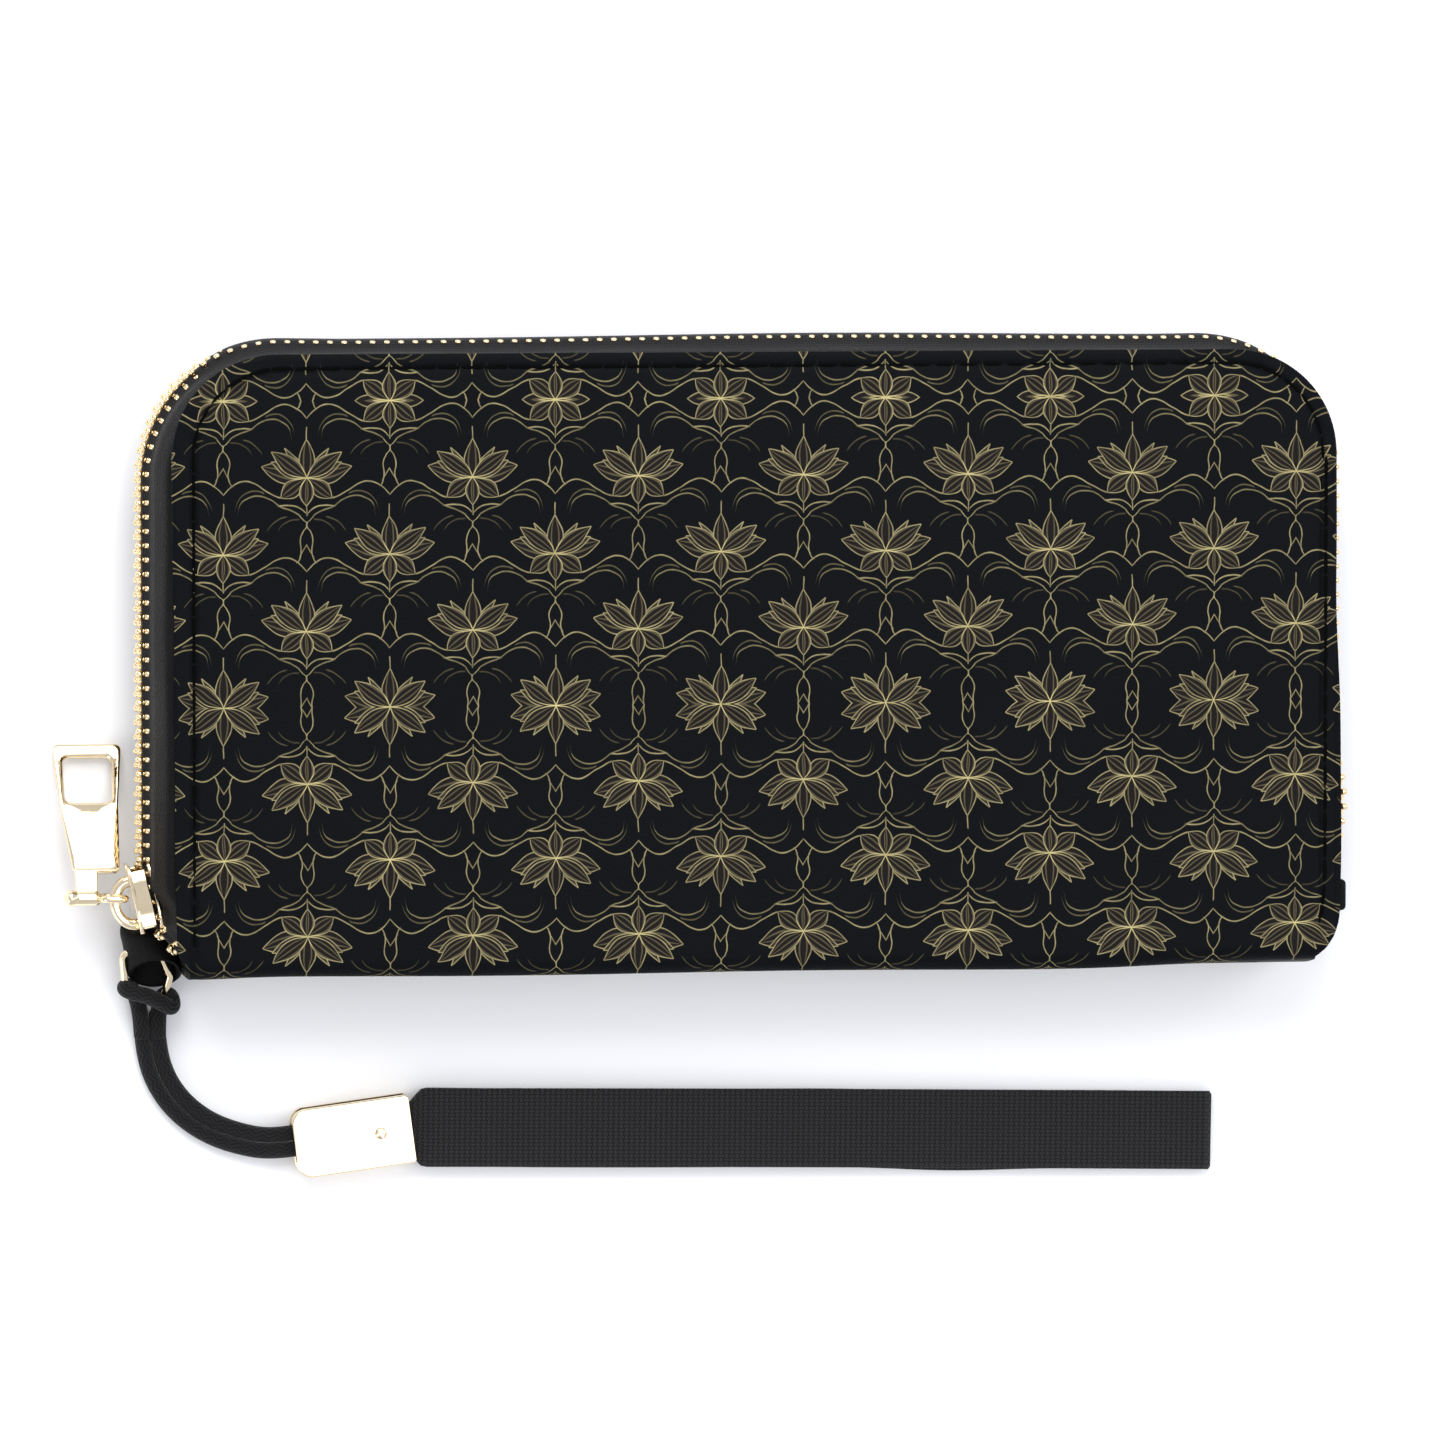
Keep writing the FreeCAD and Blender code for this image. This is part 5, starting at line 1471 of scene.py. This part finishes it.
def gussetPiece(node, across, side):
    # one pleat from the card panels' edge to the coin pocket's wall, the same at every height but for a
    # slow wave
    points = np.array(inner["gusset"])
    run = np.concatenate([[0], np.cumsum(np.hypot(*np.diff(points, axis=0).T))])
    t = np.linspace(0, run[-1], 60)
    outline = np.stack([np.interp(t, run, points[:, k]) for k in (0, 1)], -1)
    for _ in range(6):
        outline[1:-1] = (outline[:-2] + 2 * outline[1:-1] + outline[2:]) / 4
    y = np.linspace(-45.0, 31.6, 60)
    wave = 0.18 * np.sin(y[:, None] / 8.0 + across) * np.sin(np.linspace(0, math.pi, 60))[None, :]
    x = (outline[:, 0][None, :] + wave) * across
    z = np.repeat(outline[:, 1][None, :], 60, 0)
    if side > 0:
        z = cover["height"] - z
    uv = np.stack(np.meshgrid(y, t, indexing="ij"), -1) * mm
    piece = gridPiece(node + "Cloth", np.stack([x, np.repeat(y[:, None], 60, 1), z], -1) * mm, "lining", uv)
    modifier(piece, "SOLIDIFY", thickness=0.3 * mm, offset=0.0)
    if side < 0:
        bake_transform(piece)
    else:
        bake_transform(piece)
    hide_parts(node)


for side, half in ((-1, "back"), (1, "front")):
    body = half + "_half"
    cloth, card = inner["lining"], inner["card"]
    innerSheet(half + "Lining", cloth, cloth["high"], cloth["level"], side, "lining", "lining", body,
               half + "_lining")
    for k, high in enumerate(card["tops"]):
        level = card["level"] + k * card["step"]
        innerSheet(f"{half}Card{k + 1}", card, high, level, side, "cardLeather", "card_panel", body,
                   f"{half}_card_panel_{k + 1}", hem=0.1, relief=0.02)
        panelStitches(f"{half}CardStitches{k + 1}", card, high, level, side, body)
    for across, hand in ((-1, "left"), (1, "right")):
        gussetPiece(f"gusset_{hand}_{half}", across, side)
print("inside sheets made")


def coinPocket():
    # two cloth walls up from the spine, their tapes and the small teeth between them
    wall, chain = inner["wall"], inner["coinZip"]
    for side, half in ((-1, "back"), (1, "front")):
        innerSheet(half + "CoinWall", wall, wall["high"], wall["level"], side, "lining", "lining", "spine",
                   "coin_wall_" + half, relief=0.03)
        # the tape lies on the wall's inner side, then leans up to the teeth
        u = np.array([0.0, 1.2, 2.5, 3.4, 4.2, 4.9, 5.3])
        w = np.array([2.45, 2.4, 2.25, 1.95, 1.5, 1.15, 1.0])
        x = np.linspace(-chain["wide"], chain["wide"], 160)
        y = 32.0 + u[None, :] + 0 * x[:, None]
        z = zipper["middle"] + side * (w[None, :] + 0.05 * np.sin(x / 6.0)[:, None])
        uv = np.stack(np.meshgrid(x, u, indexing="ij"), -1) * mm
        tape = gridPiece(half + "CoinTape", np.stack([np.repeat(x[:, None], 7, 1), y, z], -1) * mm,
                         "zipTape", uv)
        modifier(tape, "SOLIDIFY", thickness=0.4 * mm, offset=0.0)
        settle(tape, "spine", "zip_tape", "coin_zip_tape_" + half)
        at = np.arange(-78.0 + (0.0 if side < 0 else 1.14), 78.0, chain["pitch"])
        depth = np.full(len(at), zipper["middle"] + side * 0.3)
        places = np.column_stack([at, np.full(len(at), chain["y"]), depth])
        axes = np.tile(np.eye(3), (len(at), 1, 1))
        teeth = scattered(half + "CoinTeeth", beadShape(3.4), places, axes,
                          np.tile([0.5, 0.8, 1.05], (len(at), 1)), "zipGold")
        settle(teeth, "spine", "zip_metal", "coin_zip_teeth_" + half)


def coinSlider():
    # two plates held apart by a neck, a small arch over them and a pull that lies along the chain
    x0, x1, z = -76.0, -68.0, 12.5
    outline = [(x0, z - 1.5), (x0 + 1.2, z - 2.4), (x0 + 4, z - 2.4), (x1 - 0.8, z - 1.8), (x1, z - 1.0)]
    outline = np.array(outline + [(a, 2 * z - b) for a, b in reversed(outline)]) * mm
    middle = np.array([(x0 + x1) / 2, z]) * mm
    parts = [
        prismPiece("coinPlateTop", outline, 38.45 * mm, 39.05 * mm, "lightGold", 0.2 * mm, 3, "y"),
        prismPiece("coinPlateLow", (outline - middle) * [0.9, 0.5] + middle, 35.6 * mm, 36.1 * mm,
                   "lightGold", 0.2 * mm, 3, "y"),
        roundedBox("coinNeck", (x0 + 0.5) * mm, (x0 + 1.7) * mm, 35.9 * mm, 38.6 * mm, 12.0 * mm,
                   13.0 * mm, "lightGold", 0.15 * mm),
    ]
    arch = [(-73.4, 38.9, z), (-73.4, 40.4, z), (-72.6, 40.65, z), (-70.9, 40.65, z), (-70.2, 40.3, z),
            (-70.2, 38.9, z)]
    parts.append(sweptPiece("coinArch", smoothLine(np.array(arch) * mm, 40),
                            circle(0.32, 14) * mm * [1, 1.9], "lightGold"))
    settle(joined("coinSlider", parts), "coin_slider", "gold_metal", "coin_slider")
    eye = roundedPath([(-72.6, 39.5, z - 1.6), (-72.6, 39.5, z + 1.6), (-69.6, 39.5, z + 1.6),
                       (-69.6, 39.5, z - 1.6)], 0.5, steps=6) * mm
    plate = roundedBox("coinTongue", -69.8 * mm, -63.2 * mm, 39.2 * mm, 39.85 * mm, 10.5 * mm, 14.5 * mm,
                       "lightGold", 0.25 * mm)
    loop = sweptPiece("coinEye", eye, circle(0.36, 12) * mm, "lightGold", closed=True)
    settle(joined("coinPull", [loop, plate]), "coin_pull", "gold_metal", "coin_pull")


def spineLining():
    # the strip of cloth inside the spine
    x, z = np.linspace(-82, 82, 120), np.linspace(5.0, 20.0, 16)
    y = -49.75 + 0.05 * np.sin(x[:, None] / 15.0) * np.sin((z[None, :] - 5) / 15 * math.pi)
    uv = np.stack(np.meshgrid(x, z, indexing="ij"), -1) * mm
    points = np.stack([np.repeat(x[:, None], 16, 1), y, np.repeat(z[None, :], 120, 0)], -1) * mm
    piece = gridPiece("spineLining", points, "lining", uv)
    modifier(piece, "SOLIDIFY", thickness=0.4 * mm, offset=0.0)
    settle(piece, "spine", "lining", "spine_lining")


def boardFinish():
    # the stiffening boards keep their own plain shapes and take the grey board's surface
    for piece in bpy.data.objects:
        if piece.type == "MESH" and piece.name in ("back_board", "front_board"):
            piece.data.materials.clear()
            piece.data.materials.append(materials["greyBoard"])


coinPocket()
coinSlider()
spineLining()
boardFinish()
print("inside made")

floor = gridPiece("table", np.stack(np.meshgrid([-1.5, 1.5], [-1.5, 1.5], [0.0], indexing="ij"),
                                    -1).reshape(2, 2, 3), "paleTable")
